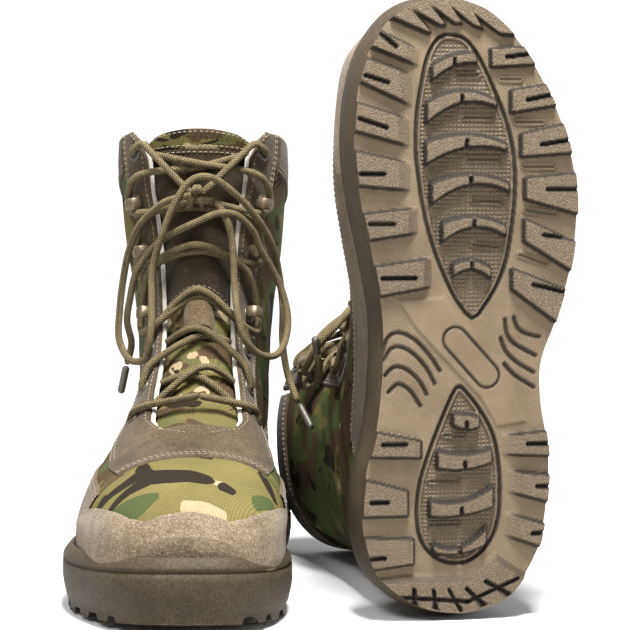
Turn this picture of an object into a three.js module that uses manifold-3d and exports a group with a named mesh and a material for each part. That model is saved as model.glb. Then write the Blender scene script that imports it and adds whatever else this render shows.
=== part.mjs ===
// A pair of insulated lace-up hunting boots: the right boot stands, the left boot lies on its back.
// One boot is modelled in its own frame (millimetres): +x to the inner side of the foot, +y to the toe,
// +z up, with the ground under the heel at the origin. The right boot is its mirror image.
import * as THREE from 'three';
import { mergeVertices } from 'three/addons/utils/BufferGeometryUtils.js';
import Module from 'manifold-3d';

const wasm = await Module();
wasm.setup();

// ---------------------------------------------------------------- driving dimensions
const TOE_SPRING = 6; // rise of the toe tip above the ground
const SPRING_START = 215; // y where the sole starts to lift
const SOLE_LENGTH = 309;
const LUG_HEIGHT = 5;
const SOLE_FLOOR = 9; // underside of the foam midsole
const SOLE_TOP = 18.2; // top of the midsole, under the insole board
const BEND_ROOM = 1.2; // between flat pieces that the toe spring bends together
const WALL_TOP = 33; // top edge of the rubber side wall
const WALL_INSET = 2.5; // how far the side wall leans in at its top
const WALL_BULGE = 2.5; // how far its middle swells past the tread
const LEATHER = 2;
const GAP = 0.5;
const WALL_GAP = 2; // between the faceted layers of the boot's wall
const INSULATION = 2.5;
const LINING = 2;
const STIFFENER = 1.2; // toe puff and heel counter
const BOARD_TOP = 22;
const TONGUE_DEPTH = 7; // depth of the tongue's face under the boot's skin
const TONGUE_THICKNESS = 5;
const FOOTBED_THICKNESS = 4;
const FOOTBED_END = 272;
const FOOTBED_ROOM = 5.5; // between the footbed's rim and the faceted lining
const LACE_DIAMETER = 4;
const AROUND = 16;
const LINING_SIDES = 14; // facets around the shaft
const SHAFT_TOP = 16; // last station, at the collar
const STAND_YAW = 0.3; // degrees, standing boot's toe turned outwards
const LYING_YAW = 11; // degrees, lying boot's shaft turned towards the other boot
const LYING_LEAN = 0.95; // degrees, lying boot's sole leaning back on its collar
const STAND_AT = [-65, 0];
const LYING_AT = [71.5, -262];

// Stations of the skin, from the toe tip round the foot and up to the collar. Each is a closed section
// between a back (or bottom) point and a front (or top) point, both [y, z].
//   back, front, half width, centre x, ridge x, height of the widest place, front and back roundness
const STATIONS = [
  [[297.5, 21], [299, 43], 26, 4, 0, 0.45, 0.75, 0.6],
  [[293, 21], [293, 53], 34.5, 4, 0, 0.4, 0.75, 0.5],
  [[280, 20], [277, 66], 45, 3, 2, 0.38, 0.8, 0.45],
  [[255, 20], [247, 77], 51, 0, 5, 0.36, 0.85, 0.4],
  [[225, 20], [216, 87], 54, -4, 9, 0.35, 0.9, 0.4],
  [[190, 20], [189, 101], 51, -7, 11, 0.34, 0.95, 0.4],
  [[150, 20], [166, 120], 44, -6, 9, 0.34, 1, 0.4],
  [[100, 20], [151, 141], 39.5, -3, 5, 0.35, 1, 0.45],
  [[50, 20], [141, 160], 38.5, -1, 2, 0.4, 1, 0.5],
  [[14, 24], [135, 177], 38, 0, 0, 0.45, 0.95, 0.6],
  [[2, 52], [131, 191], 39, 0, 0, 0.5, 0.9, 0.75],
  [[3, 84], [129, 203], 40.5, 0, 0, 0.5, 0.86, 0.85],
  [[8, 118], [128, 214], 43, 0, 0, 0.5, 0.84, 0.85],
  [[9, 150], [127.5, 224], 46.5, 0, 0, 0.5, 0.84, 0.85],
  [[6, 185], [127, 234], 48.5, 0, 0, 0.5, 0.84, 0.85],
  [[3, 213], [127.5, 243], 49.5, 0, 0, 0.5, 0.84, 0.85],
  [[1, 232], [129, 252], 49, 0, 0, 0.5, 0.84, 0.85],
];

// ---------------------------------------------------------------- small maths
const mix = (a, b, t) => a + (b - a) * t;
const radians = (degrees) => (degrees * Math.PI) / 180;
const power = (x, e) => Math.abs(x) ** e;

// A value read from a list of [at, value] pairs, straight between them.
function along(table, at) {
  const next = table.findIndex(([place]) => place > at);
  if (next === 0) return table[0][1];
  if (next < 0) return table[table.length - 1][1];
  const [a, b] = [table[next - 1], table[next]];
  return mix(a[1], b[1], (at - a[0]) / (b[0] - a[0]));
}

// The section at s, straight between two neighbouring stations.
function sectionAt(s) {
  const i = Math.min(Math.max(Math.floor(s), 0), STATIONS.length - 2);
  const t = s - i;
  const [a, b] = [STATIONS[i], STATIONS[i + 1]];
  const pair = (k) => [mix(a[k][0], b[k][0], t), mix(a[k][1], b[k][1], t)];
  const [half, centre, ridge, widest, front, back] = [2, 3, 4, 5, 6, 7].map((k) => mix(a[k], b[k], t));
  return { back: pair(0), front: pair(1), half, centre, ridge, widest, frontRound: front, backRound: back };
}

// A point of the boot. s runs along the stations, v around the section: 0 on the front line, +0.5 on the
// inner side, -0.5 on the outer side, 1 on the back line. depth is measured inwards from the skin.
function skin(s, v, depth = 0) {
  const { back, front, half, centre, ridge, widest, frontRound, backRound } = sectionAt(s);
  const span = Math.hypot(front[0] - back[0], front[1] - back[1]);
  const thin = Math.min(depth, span * 0.45) / span;
  const turn = Math.PI * v;
  const upper = Math.cos(turn) > 0;
  const round = upper ? frontRound : backRound;
  const reach = power(Math.cos(turn), round) * (upper ? 1 - widest : -widest);
  const height = mix(thin, 1 - thin, widest + reach);
  const side = (half - Math.min(depth, half * 0.6)) * Math.sign(Math.sin(turn)) * power(Math.sin(turn), round);
  const tipBack = depth * Math.max(0, 1 - s / 3);
  const x = centre + side + ridge * Math.max(0, reach) / (1 - widest);
  return [x, mix(back[0], front[0], height) - tipBack, mix(back[1], front[1], height)];
}

// ---------------------------------------------------------------- solids
// A closed geometry as a solid. Its faces are turned round if it came out inside out.
function toSolid(geometry) {
  const bare = geometry.clone();
  bare.deleteAttribute('normal');
  bare.deleteAttribute('uv');
  const merged = mergeVertices(bare, 1e-4);
  const faces = Array.from(merged.index.array);
  const corner = (i) => new THREE.Vector3().fromBufferAttribute(merged.attributes.position, faces[i]);
  let volume = 0;
  for (let i = 0; i < faces.length; i += 3) volume += corner(i).dot(corner(i + 1).cross(corner(i + 2)));
  return new wasm.Manifold(new wasm.Mesh({
    numProp: 3,
    vertProperties: new Float32Array(merged.attributes.position.array),
    triVerts: new Uint32Array(volume < 0 ? faces.reverse() : faces),
  }));
}

function toGeometry(solid) {
  const mesh = solid.getMesh();
  const geometry = new THREE.BufferGeometry();
  geometry.setAttribute('position', new THREE.BufferAttribute(new Float32Array(mesh.vertProperties), 3));
  geometry.setIndex(new THREE.BufferAttribute(new Uint32Array(mesh.triVerts), 1));
  return geometry;
}

// A closed body through rings that all have the same even number of points. Each end is closed by a
// strip between the two halves of its ring, so a ring may bend like a C.
function ringSolid(rings) {
  const count = rings[0].length;
  const faces = [];
  for (let i = 0; i + 1 < rings.length; i += 1) {
    for (let j = 0; j < count; j += 1) {
      const [a, b] = [i * count + j, i * count + ((j + 1) % count)];
      faces.push(a, b, a + count, b, b + count, a + count);
    }
  }
  const last = (rings.length - 1) * count;
  for (let j = 0; j + 1 < count / 2; j += 1) {
    const [a, b, c, d] = [j, j + 1, count - 2 - j, count - 1 - j];
    faces.push(b, a, c, c, a, d, last + a, last + b, last + c, last + a, last + c, last + d);
  }
  const geometry = new THREE.BufferGeometry();
  geometry.setAttribute('position', new THREE.Float32BufferAttribute(rings.flat(2), 3));
  geometry.setIndex(faces);
  return toSolid(geometry);
}

// Everything inside the skin, less `depth`, up to station `top`, with a ring at every `step` stations.
function core(depth, top = SHAFT_TOP, step = 1, sides = AROUND) {
  const rings = [];
  for (let s = 0; s <= top; s += step) {
    const ring = [];
    for (let j = 0; j < sides; j += 1) ring.push(skin(s, (2 * j + 1) / sides - 1, depth));
    rings.push(ring);
  }
  return ringSolid(rings);
}

// A panel of the skin between two depths, from station s0 to s1 and from edge(s) to edge(s) around it.
// Its rings fall on the stations, so that panels with a common edge meet along it.
function sector(s0, s1, from, to, shallow = -8, deep = 9, strips = 2) {
  const rings = [];
  const between = STATIONS.map((_, s) => s).filter((s) => s > s0 + 0.05 && s < s1 - 0.05);
  for (const s of [s0, ...between, s1]) {
    const [a, b] = [from(s), to(s)];
    const columns = Array.from({ length: strips + 1 }, (_, k) => mix(a, b, k / strips));
    const outer = columns.map((v) => skin(s, v, shallow));
    const inner = columns.map((v) => skin(s, v, deep)).reverse();
    rings.push([...outer, ...inner]);
  }
  return ringSolid(rings);
}

// An outline in plan [x, y], raised from z0 to z1.
function slab(outline, z0, z1) {
  const shape = new THREE.Shape(outline.map(([x, y]) => new THREE.Vector2(x, y)));
  const geometry = new THREE.ExtrudeGeometry(shape, { depth: z1 - z0, bevelEnabled: false });
  return toSolid(geometry.translate(0, 0, z0));
}

const below = (z) => slab([[-200, -50], [200, -50], [200, 400], [-200, 400]], -50, z);
const above = (z) => slab([[-200, -50], [200, -50], [200, 400], [-200, 400]], z, 400);
const behind = (y) => slab([[-200, -50], [200, -50], [200, y], [-200, y]], -50, 400);
const join = (solids) => solids.reduce((sum, solid) => sum.add(solid));

// The toe spring lifts every piece of the forefoot together.
const lift = (y) => TOE_SPRING * Math.max(0, (y - SPRING_START) / (SOLE_LENGTH - SPRING_START)) ** 2;

function sprung(geometry) {
  const position = geometry.attributes.position;
  for (let i = 0; i < position.count; i += 1) {
    position.setZ(i, position.getZ(i) + lift(position.getY(i)));
  }
  return geometry;
}

// ---------------------------------------------------------------- panel edges, on the skin
const GAP_EDGE = [[4.2, 0.02], [4.5, 0.11], [5, 0.16], [6, 0.185], [14.4, 0.185], [15.4, 0.22], [16, 0.27]];
const FACING_EDGE = [[3, 0.24], [4, 0.3], [5, 0.32], [9, 0.32], [12, 0.31], [16, 0.36]];
const CAP_EDGE = [[0, 1.2], [0.1, 1.05], [0.17, 0.95], [0.25, 1.3], [0.33, 2.1], [0.4, 3], [0.47, 4], [1, 4.2]];
const OVERLAY_EDGE = [[2, 0.36], [3.6, 0.33], [6, 0.4], [8, 0.47], [9.5, 0.62], [10.5, 0.8], [12, 0.9], [16, 0.9]];
const U_BOTTOM = 4.2; // station where the lacing gap starts
const EYESTAY_FRONT = 3.3; // station of the eyestay's front edge
const COLLAR_START = 14.3;
const TIP_START = 293; // y ahead of which the whole upper is toe cap
const SEAM = 0.009; // half the gap between two panels, around the section

const gapEdge = (s) => along(GAP_EDGE, s);
const facingEdge = (s) => along(FACING_EDGE, s);
const overlayEdge = (s) => along(OVERLAY_EDGE, s);

// The toe cap's region: everything ahead of its wavy rear edge.
function capRegion(rearward) {
  const rings = [];
  for (let j = -6; j <= 6; j += 1) {
    const v = j / 9;
    const rear = along(CAP_EDGE, Math.abs(v)) + rearward;
    const stops = [0, 0.5, 1].map((t) => rear * t);
    const outer = stops.map((s) => skin(s, v, -8));
    const inner = stops.map((s) => skin(s, v, 9)).reverse();
    rings.push([...outer, ...inner]);
  }
  const tip = TIP_START - 5 * rearward;
  return ringSolid(rings).add(slab([[-60, tip], [60, tip], [60, 330], [-60, 330]], 0, 100));
}

// ---------------------------------------------------------------- upper and linings

const panel = (s0, s1, from, to, strips) => sector(s0, s1, from, to, 0, LEATHER, strips);
const minus = (edge, margin = 0) => (s) => -(edge(s) + margin);
const plus = (edge, margin = 0) => (s) => edge(s) + margin;
const beyondBack = (edge, margin) => (s) => 2 - edge(s) - margin;

function upperPanels() {
  const clearOfSole = above(BOARD_TOP + GAP);
  const arm = (side) => panel(U_BOTTOM - 0.01, SHAFT_TOP, (s) => side * gapEdge(s),
    (s) => side * (facingEdge(s) - SEAM), 2);
  const quarter = (side) => panel(3.4, COLLAR_START - 0.06, (s) => side * (facingEdge(s) + SEAM),
    (s) => side * (overlayEdge(s) - SEAM), 6).subtract(capRegion(0.07));
  return {
    toe_cap: core(0, 5).subtract(core(LEATHER, 6)).intersect(clearOfSole).intersect(capRegion(0)),
    vamp: panel(0.7, EYESTAY_FRONT - 0.06, () => -0.5, () => 0.5, 8).subtract(capRegion(0.07)),
    eyestay: join([
      panel(EYESTAY_FRONT, U_BOTTOM, minus(facingEdge, -SEAM), plus(facingEdge, -SEAM), 6),
      arm(1),
      arm(-1),
    ]),
    quarter_medial: quarter(1),
    quarter_lateral: quarter(-1),
    heel_cover: core(0).subtract(core(LEATHER, SHAFT_TOP + 1)).intersect(clearOfSole)
      .intersect(sector(3.4, COLLAR_START - 0.06, plus(overlayEdge, SEAM), beyondBack(overlayEdge, SEAM), -8, 9, 6))
      .subtract(capRegion(0.07)),
    collar: panel(COLLAR_START, SHAFT_TOP, plus(facingEdge, SEAM), beyondBack(facingEdge, SEAM), 16),
  };
}

const STIFFENER_AT = LEATHER + 0.7 * WALL_GAP;
const INSULATION_AT = STIFFENER_AT + STIFFENER + 1.5 * WALL_GAP;
const LINING_AT = INSULATION_AT + INSULATION + 2 * GAP;
const CAVITY_AT = LINING_AT + LINING;

// A layer of the boot's wall between two depths.
const layer = (from, thickness) => (
  core(from, SHAFT_TOP, 2, LINING_SIDES).subtract(core(from + thickness, SHAFT_TOP + 2, 2, LINING_SIDES))
);

function linings() {
  const flare = plus(gapEdge, 0.085);
  const front = sector(U_BOTTOM + 0.2, SHAFT_TOP + 0.3, minus(flare), flare, -8, 16, 4);
  const stiff = (s0, s1, from, to) => (
    sector(s0, s1, from, to, STIFFENER_AT, STIFFENER_AT + STIFFENER, 6).intersect(above(BOARD_TOP + GAP))
  );
  return {
    toe_puff: stiff(0.2, 2.2, () => -0.34, () => 0.34).intersect(capRegion(-0.25)),
    heel_counter: stiff(8.8, 10.3, () => 0.76, () => 1.24),
    insulation: layer(INSULATION_AT, INSULATION).subtract(front),
    lining: layer(LINING_AT, LINING).subtract(front),
  };
}

// The tongue lies under the lacing gap, deeper than the facings, with room above it for the laces.
function tongue() {
  const half = (s) => Math.min(gapEdge(s) + 0.05, 0.235);
  const back = TONGUE_DEPTH + TONGUE_THICKNESS;
  return sector(U_BOTTOM + 0.5, SHAFT_TOP, minus(half), half, TONGUE_DEPTH, back, 4);
}

// The lace keeper is a suede strap sewn across the tongue, with a slot for the laces.
function laceKeeper() {
  const strap = (s0, s1, half, shallow, deep) => sector(s0, s1, () => -half, () => half, shallow, deep);
  return strap(7.2, 7.8, 0.075, TONGUE_DEPTH - 5.9, TONGUE_DEPTH - 1)
    .subtract(strap(7.15, 7.85, 0.055, TONGUE_DEPTH - 5.1, TONGUE_DEPTH - 1.8));
}

// ---------------------------------------------------------------- sole
const SOLE_EDGE = [
  [3, 0], [22, 5], [41, 20], [48, 42], [47, 68], [41, 94], [38, 122], [38, 150], [43, 180], [49, 208],
  [52, 236], [49.5, 264], [42, 286], [28, 303], [11, 309], [-6, 308.5], [-21, 302], [-37, 285], [-52, 258],
  [-61, 232], [-64, 205], [-61, 176], [-53, 148], [-45, 126], [-45, 105], [-49, 80], [-48, 55], [-43, 30],
  [-29, 9], [-13, 1.5],
];
// Side lugs: inner x, then front and rear y at the inner end, front and rear y at the edge of the sole.
const LUGS = [
  [17.5, 284, 274, 297, 285], [21.5, 271, 254, 280, 265], [23, 249, 234, 256, 240], [22.5, 227, 212, 232, 214],
  [19, 205, 191, 202, 187], [12, 180, 164, 175, 158], [17, 88, 78, 94, 79], [24, 63, 49, 69, 49],
  [21, 39, 25, 40, 22], [-18, 285, 274, 287, 276], [-28, 264, 251, 267, 254], [-33, 242, 229, 245, 230],
  [-35, 220, 208, 221, 205], [-34.5, 200, 187, 195, 180], [-28, 175, 163, 168, 150], [-24, 90, 79, 92, 78],
  [-27, 72, 60, 70, 55], [-25.5, 51, 38, 45, 31],
];
const TOE_BAND = [[60, 301], [12, 295], [-12, 291], [-60, 291], [-60, 330], [60, 330]];
const HEEL_BAND = [[60, 17], [20, 20], [0, 20], [-12, 24], [-21, 29], [-60, 18], [-60, -20], [60, -20]];

// The sole's plan outline, moved inwards by `inset`.
function soleOutline(inset) {
  const curve = new THREE.CatmullRomCurve3(SOLE_EDGE.map(([x, y]) => new THREE.Vector3(x, y, 0)), true);
  const points = curve.getPoints(34).slice(0, -1);
  return points.map((point, i) => {
    const ahead = points[(i + 1) % points.length];
    const last = points[(i + points.length - 1) % points.length];
    const run = ahead.clone().sub(last).normalize();
    return [point.x - run.y * inset, point.y + run.x * inset];
  });
}

const SHANK = [[-10, 70], [8, 70], [6, 130], [6, 180], [-12, 180], [-12, 130]];
const around = (outline, margin) => {
  const [cx, cy] = [0, 1].map((k) => outline.reduce((sum, p) => sum + p[k], 0) / outline.length);
  return outline.map(([x, y]) => [x + Math.sign(x - cx) * margin, y + Math.sign(y - cy) * margin]);
};

function outsole() {
  const wall = [
    [LUG_HEIGHT, 3], [LUG_HEIGHT + 4, 0], [WALL_TOP / 2, -WALL_BULGE], [WALL_TOP - 7, -WALL_BULGE],
    [WALL_TOP, WALL_INSET],
  ];
  const body = ringSolid(wall.map(([z, inset]) => soleOutline(inset).map(([x, y]) => [x, y, z])));
  const lugs = LUGS.map(([x, frontIn, rearIn, frontOut, rearOut]) => {
    const far = Math.sign(x) * 46;
    const beyond = Math.sign(x) * 90;
    const stretch = (beyond - x) / (far - x);
    const edge = (inner, outer) => [beyond, inner + (outer - inner) * stretch];
    return slab([[x, rearIn], [x, frontIn], edge(frontIn, frontOut), edge(rearIn, rearOut)], 0, LUG_HEIGHT + 1);
  });
  const bands = [TOE_BAND, HEEL_BAND].map((outline) => slab(outline, 0, LUG_HEIGHT + 1));
  const tread = join([...lugs, ...bands]).intersect(slab(soleOutline(0.5), -1, LUG_HEIGHT + 2));
  const shell = join([body, tread]);
  return shell
    .subtract(slab(soleOutline(6), SOLE_FLOOR - BEND_ROOM, SOLE_TOP + BEND_ROOM))
    .subtract(core(-WALL_GAP, 11));
}

function underfoot() {
  const shankRoom = slab(around(SHANK, GAP), 16.5, 30);
  const inside = core(CAVITY_AT + FOOTBED_ROOM, 10, 2);
  const linedTop = 20 + CAVITY_AT + FOOTBED_ROOM;
  return {
    midsole: slab(soleOutline(6.5), SOLE_FLOOR, SOLE_TOP).subtract(shankRoom),
    shank: slab(SHANK, 17, 19),
    insole_board: core(0.2, 9).intersect(below(BOARD_TOP)).intersect(slab(soleOutline(8), 0, 60)),
    footbed: inside.intersect(below(linedTop + FOOTBED_THICKNESS)).intersect(behind(FOOTBED_END)),
  };
}

// ---------------------------------------------------------------- laces and hardware
const LACE_SIDES = 8;
const EYELETS = [5.5, 6.4, 7.5, 14.9]; // stations of the punched eyelets, the last one near the collar
const HOOKS = [8.6, 10.6, 12.6]; // stations of the open hooks
const LACE_ROWS = [...EYELETS.slice(0, 3), ...HOOKS, EYELETS[3]];
const HOOK_AT = 0.242;
const HOOK_WIDTH = 6;
const KNOT = [0, 135, 213];
const KNOT_SIZE = [8, 5, 6];
const AGLET_RADIUS = 2.1;

// A curve through its points, stepped evenly between them rather than evenly along its length.
class Route extends THREE.CatmullRomCurve3 {
  getUtoTmapping(u) {
    return u;
  }
}

function tube(points, stepsPerPoint, radius = LACE_DIAMETER / 2) {
  const route = new Route(points.map((p) => new THREE.Vector3(...p)), false, 'centripetal');
  const section = new THREE.Shape(Array.from({ length: LACE_SIDES }, (_, i) => {
    const turn = (2 * Math.PI * i) / LACE_SIDES;
    return new THREE.Vector2(radius * Math.cos(turn), radius * Math.sin(turn));
  }));
  const steps = (points.length - 1) * stepsPerPoint;
  return toSolid(new THREE.ExtrudeGeometry(section, { steps, extrudePath: route, bevelEnabled: false }));
}

// The lace's turn at one eyelet or behind one hook, between two crossings.
function turnAt(s, side) {
  if (!HOOKS.includes(s)) {
    return [skin(s - 0.3, side * 0.17, -4), skin(s, side * 0.277, -4.2), skin(s + 0.3, side * 0.17, -4)];
  }
  const bend = [[-0.9, 0.2], [-0.3, 0.277], [0.3, 0.277], [0.9, 0.2]];
  return bend.map(([rise, v]) => skin(s + rise, side * v, -4.2));
}

// Half of the laced run, starting at the middle of the lowest bar and crossing the tongue at every row.
function lacedStrand(startSide) {
  const points = [skin(LACE_ROWS[0] - 0.35, 0, -3)];
  LACE_ROWS.forEach((s, row) => {
    const side = row % 2 === 0 ? startSide : -startSide;
    points.push(...turnAt(s, side));
    const next = LACE_ROWS[row + 1];
    if (next) points.push(skin(mix(s, next, 0.5), 0, startSide > 0 ? 3.8 : -1.2));
  });
  const topSide = LACE_ROWS.length % 2 === 1 ? startSide : -startSide;
  points.push(skin(14.1, topSide * 0.12, -5), [topSide * 6, KNOT[1], KNOT[2] + 5]);
  return tube(points, 1);
}

function lace() {
  const knot = new THREE.SphereGeometry(1, 8, 6).scale(...KNOT_SIZE).translate(...KNOT);
  return join([lacedStrand(1), lacedStrand(-1), toSolid(knot)]);
}

// The bow. Each free cord leaves one side of the knot as a loop, comes back over the knot and hangs down
// on the other side as a tail that ends in its aglet.
const LATERAL_LOOP = [
  [-10.5, 137, 213], [-20, 137, 209], [-32, 131, 198], [-39, 124, 183], [-43, 119, 165], [-45, 118, 148],
  [-45, 121, 133], [-38, 131, 122], [-28, 142, 124], [-25, 147, 138], [-25, 139, 155], [-25, 135, 173],
  [-19, 141, 192], [-12, 144, 209], [-3, 145, 222], [8, 144, 224], [20, 138, 216], [32, 129, 203],
  [41, 116, 187],
];
const STANDING_TAIL = [[45, 106, 170], [47, 104, 150], [47, 108, 131], [50, 115, 113], [56, 125, 98]];
const STANDING_TIP = [[57, 126.6, 96.5], [64, 136, 84]];
const LYING_TAIL = [[45, 107, 170], [46.5, 105, 150], [46, 109, 131], [48, 117, 113], [52, 126, 98]];
const LYING_TIP = [[52.5, 127.2, 96.5], [56, 136, 84]];
const MEDIAL_BOW = [
  [10.5, 137, 211], [17, 139, 200], [20, 137, 185], [21, 139, 165], [23, 148, 149], [27, 149, 135],
  [35, 142, 126], [44, 133, 125], [49, 123, 133], [50, 115, 147], [45, 114, 165], [35, 123, 184],
  [31, 128, 194], [22, 136, 203], [12, 143, 204], [2, 145, 200], [-7, 142, 196], [-15, 136, 192],
  [-26, 129, 184], [-35, 123, 171], [-39, 118, 156], [-41, 115, 143], [-39, 110, 130], [-42, 106, 118],
];
const MEDIAL_TIP = [[-42.4, 105.7, 116.5], [-46, 102, 101]];

// A straight frame on the skin: x away from the lacing gap, y up the boot, z outwards.
function seat(s, v) {
  const at = (ds, dv) => new THREE.Vector3(...skin(s + ds, v + dv));
  const side = Math.sign(v);
  const up = at(0.1, 0).sub(at(-0.1, 0)).normalize();
  const out = new THREE.Vector3().crossVectors(up, at(0, 0.02).sub(at(0, -0.02))).normalize();
  const away = new THREE.Vector3().crossVectors(out, up).multiplyScalar(side);
  return new THREE.Matrix4().makeBasis(away, out, up).setPosition(at(0, 0));
}

// A bent-plate lace hook: a base riveted to the facing and a tongue that curls back away from the gap.
const HOOK_PROFILE = [
  [-7, 0.4], [5, 0.4], [5, 1.2], [-1.8, 1.2], [-1.8, 7.3], [4, 7.3], [4, 8.3], [-3, 8.3], [-3, 1.2], [-7, 1.2],
];

function hook(s, v) {
  const shape = new THREE.Shape(HOOK_PROFILE.map(([x, y]) => new THREE.Vector2(x, y)));
  const geometry = new THREE.ExtrudeGeometry(shape, { depth: HOOK_WIDTH, bevelEnabled: false });
  return toSolid(geometry.translate(0, 0, -HOOK_WIDTH / 2).applyMatrix4(seat(s, v)));
}

// ---------------------------------------------------------------- the boot as named meshes
const MATERIALS = {
  rubber: { color: '#4a4136', roughness: 0.8, metalness: 0 },
  foam: { color: '#3b362f', roughness: 0.9, metalness: 0 },
  steel: { color: '#8d8f92', roughness: 0.45, metalness: 1 },
  board: { color: '#b9ab90', roughness: 0.9, metalness: 0 },
  suede: { color: '#6b5c4b', roughness: 0.95, metalness: 0 },
  camouflage: { color: '#7d7a48', roughness: 0.85, metalness: 0 },
  wadding: { color: '#d8d5cb', roughness: 1, metalness: 0 },
  fleece: { color: '#c9c2b2', roughness: 1, metalness: 0 },
  cord: { color: '#6f6240', roughness: 0.8, metalness: 0 },
  hardware: { color: '#5d5240', roughness: 0.5, metalness: 0.6 },
  tip: { color: '#4f4a3b', roughness: 0.4, metalness: 0 },
};
const FINISHES = {
  outsole: 'rubber', midsole: 'foam', shank: 'steel', insole_board: 'board', footbed: 'foam',
  toe_puff: 'board', heel_counter: 'board', insulation: 'wadding', lining: 'fleece', toe_cap: 'suede',
  vamp: 'camouflage', eyestay: 'suede', quarter_medial: 'camouflage', quarter_lateral: 'camouflage',
  heel_cover: 'suede', collar: 'suede', tongue: 'camouflage', lace_keeper: 'suede', lace: 'cord',
  bow_lateral: 'cord', bow_medial: 'cord', aglet_lateral: 'tip', aglet_medial: 'tip',
};

const pieces = {
  outsole: outsole(),
  ...underfoot(),
  ...linings(),
  ...upperPanels(),
  tongue: tongue(),
  lace_keeper: laceKeeper(),
  lace: lace(),
  bow_medial: tube(MEDIAL_BOW, 1),
  aglet_medial: tube(MEDIAL_TIP, 1, AGLET_RADIUS),
};
HOOKS.forEach((s, i) => {
  pieces[`hook_medial_${i + 1}`] = hook(s, HOOK_AT);
  pieces[`hook_lateral_${i + 1}`] = hook(s, -HOOK_AT);
});

// A cut can leave crumbs along a seam, so a piece is its largest body.
const largest = (solid) => solid.decompose().sort((a, b) => b.volume() - a.volume())[0];

// One boot, with the tail and aglet of its lateral bow.
function bootOf(side, tail, tip) {
  const boot = new THREE.Group();
  const cord = { bow_lateral: tube([...LATERAL_LOOP, ...tail], 1), aglet_lateral: tube(tip, 1, AGLET_RADIUS) };
  for (const [name, solid] of Object.entries({ ...pieces, ...cord })) {
    const material = new THREE.MeshStandardMaterial(MATERIALS[FINISHES[name] ?? 'hardware']);
    const mesh = new THREE.Mesh(sprung(toGeometry(largest(solid))), material);
    mesh.name = `${side}_${name}`;
    boot.add(mesh);
  }
  return boot;
}

// Sets a boot on the ground by its lowest point.
function ground(boot) {
  boot.updateMatrixWorld(true);
  boot.position.z -= new THREE.Box3().setFromObject(boot, true).min.z;
}

const right = bootOf('right', STANDING_TAIL, STANDING_TIP);
right.scale.x = -1;
right.rotation.z = Math.PI - radians(STAND_YAW);
right.position.set(...STAND_AT, 0);
ground(right);

const left = bootOf('left', LYING_TAIL, LYING_TIP);
const lean = radians(LYING_LEAN);
const turn = radians(LYING_YAW);
const toeUp = new THREE.Vector3(-Math.sin(turn) * Math.sin(lean), Math.cos(turn) * Math.sin(lean), Math.cos(lean));
const inward = new THREE.Vector3(-Math.cos(turn), -Math.sin(turn), 0);
left.quaternion.setFromRotationMatrix(
  new THREE.Matrix4().makeBasis(inward, toeUp, new THREE.Vector3().crossVectors(inward, toeUp)),
);
left.position.set(...LYING_AT, 0);
ground(left);

// The origin is the centre of the pair's footprint, on the ground.
const pair = new THREE.Group();
pair.add(right, left);
pair.updateMatrixWorld(true);
const middle = new THREE.Vector3();
new THREE.Box3().setFromObject(pair, true).getCenter(middle);
pair.position.set(-middle.x, -middle.y, 0);

export default pair;
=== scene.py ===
"""A pair of insulated hunting boots: the right one stands, the left one lies with its sole to the front."""
import math

import bpy
import numpy as np
from mathutils import Matrix


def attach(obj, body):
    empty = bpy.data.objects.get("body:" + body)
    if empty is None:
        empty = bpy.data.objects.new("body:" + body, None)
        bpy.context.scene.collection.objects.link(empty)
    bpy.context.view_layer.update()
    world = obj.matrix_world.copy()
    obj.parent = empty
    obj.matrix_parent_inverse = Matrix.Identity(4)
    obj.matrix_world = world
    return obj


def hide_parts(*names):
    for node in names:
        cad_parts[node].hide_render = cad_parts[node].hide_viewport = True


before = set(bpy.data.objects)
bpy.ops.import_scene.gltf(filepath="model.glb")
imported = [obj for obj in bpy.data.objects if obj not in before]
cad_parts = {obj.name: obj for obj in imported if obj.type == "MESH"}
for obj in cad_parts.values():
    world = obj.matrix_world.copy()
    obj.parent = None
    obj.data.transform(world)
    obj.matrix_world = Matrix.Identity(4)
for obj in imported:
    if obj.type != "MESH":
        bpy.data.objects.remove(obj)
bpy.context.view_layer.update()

# ---------------------------------------------------------------- driving dimensions, in millimetres
# One boot is described in its own frame: +x to the inner side of the foot, +y to the toe, +z up.
SIDES = ("right", "left")
STAND_YAW = 0.3
LYING_YAW = 11
LYING_LEAN = 0.95
STAND_AT = (-65, 0, 0)
LYING_AT = (71.5, -262, 2.92)
MIDDLE = (0.28, -154.66, 0)  # centre of the pair's footprint before it becomes the origin
TOE_SPRING = 6  # how far the toe's end lifts off the ground
SPRING_START = 215
SOLE_LENGTH = 309
LUG_HEIGHT = 5
WALL_TOP = 33
WALL_INSET = 2.5
WALL_BULGE = 2.5
CAMO_DEPTH = 1.1  # the fabric panels lie this far under the suede's face
SUEDE_DROP = 1.7  # how far a suede panel's edge rolls down
EDGE_RIM = 1.5  # how wide the rolled edge is
LINING_DEPTH = 11.1
TONGUE_DEPTH = 7
TONGUE_RIM_DROP = 1.0
CAP_PROUD = 0.3  # the toe cap and the eyestay stand proud of the skin
CAP_DOME = 1.6  # how far the toe cap's tip bulges
EYESTAY_PROUD = 0.1
COLLAR_SWELL = 0.2  # the collar's padding, and how far from its edges it rises
COLLAR_SWELL_RUN = 8
COLLAR_ROLL = 3.2  # how high the collar's rolled top stands
LIP_RADIUS = 1.3  # the fleece lip inside the facings
LIP_DEPTH = 3.2
KEEPER_RISE = 4.9  # how high the lace keeper arches over the tongue
KEEPER_THICKNESS = 0.0009  # in metres
LACE_RADIUS = 2
AGLET_RADIUS = 2.1

# Places along the boot, as stations of the skin.
SHAFT_TOP = 16
U_BOTTOM = 4.2
EYESTAY_FRONT = 3.3
COLLAR_START = 14.3
ANKLE = 9.2
VAMP_SPAN = (0.8, 3.6)
KEEPER_SPAN = (7.15, 7.85)

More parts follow.
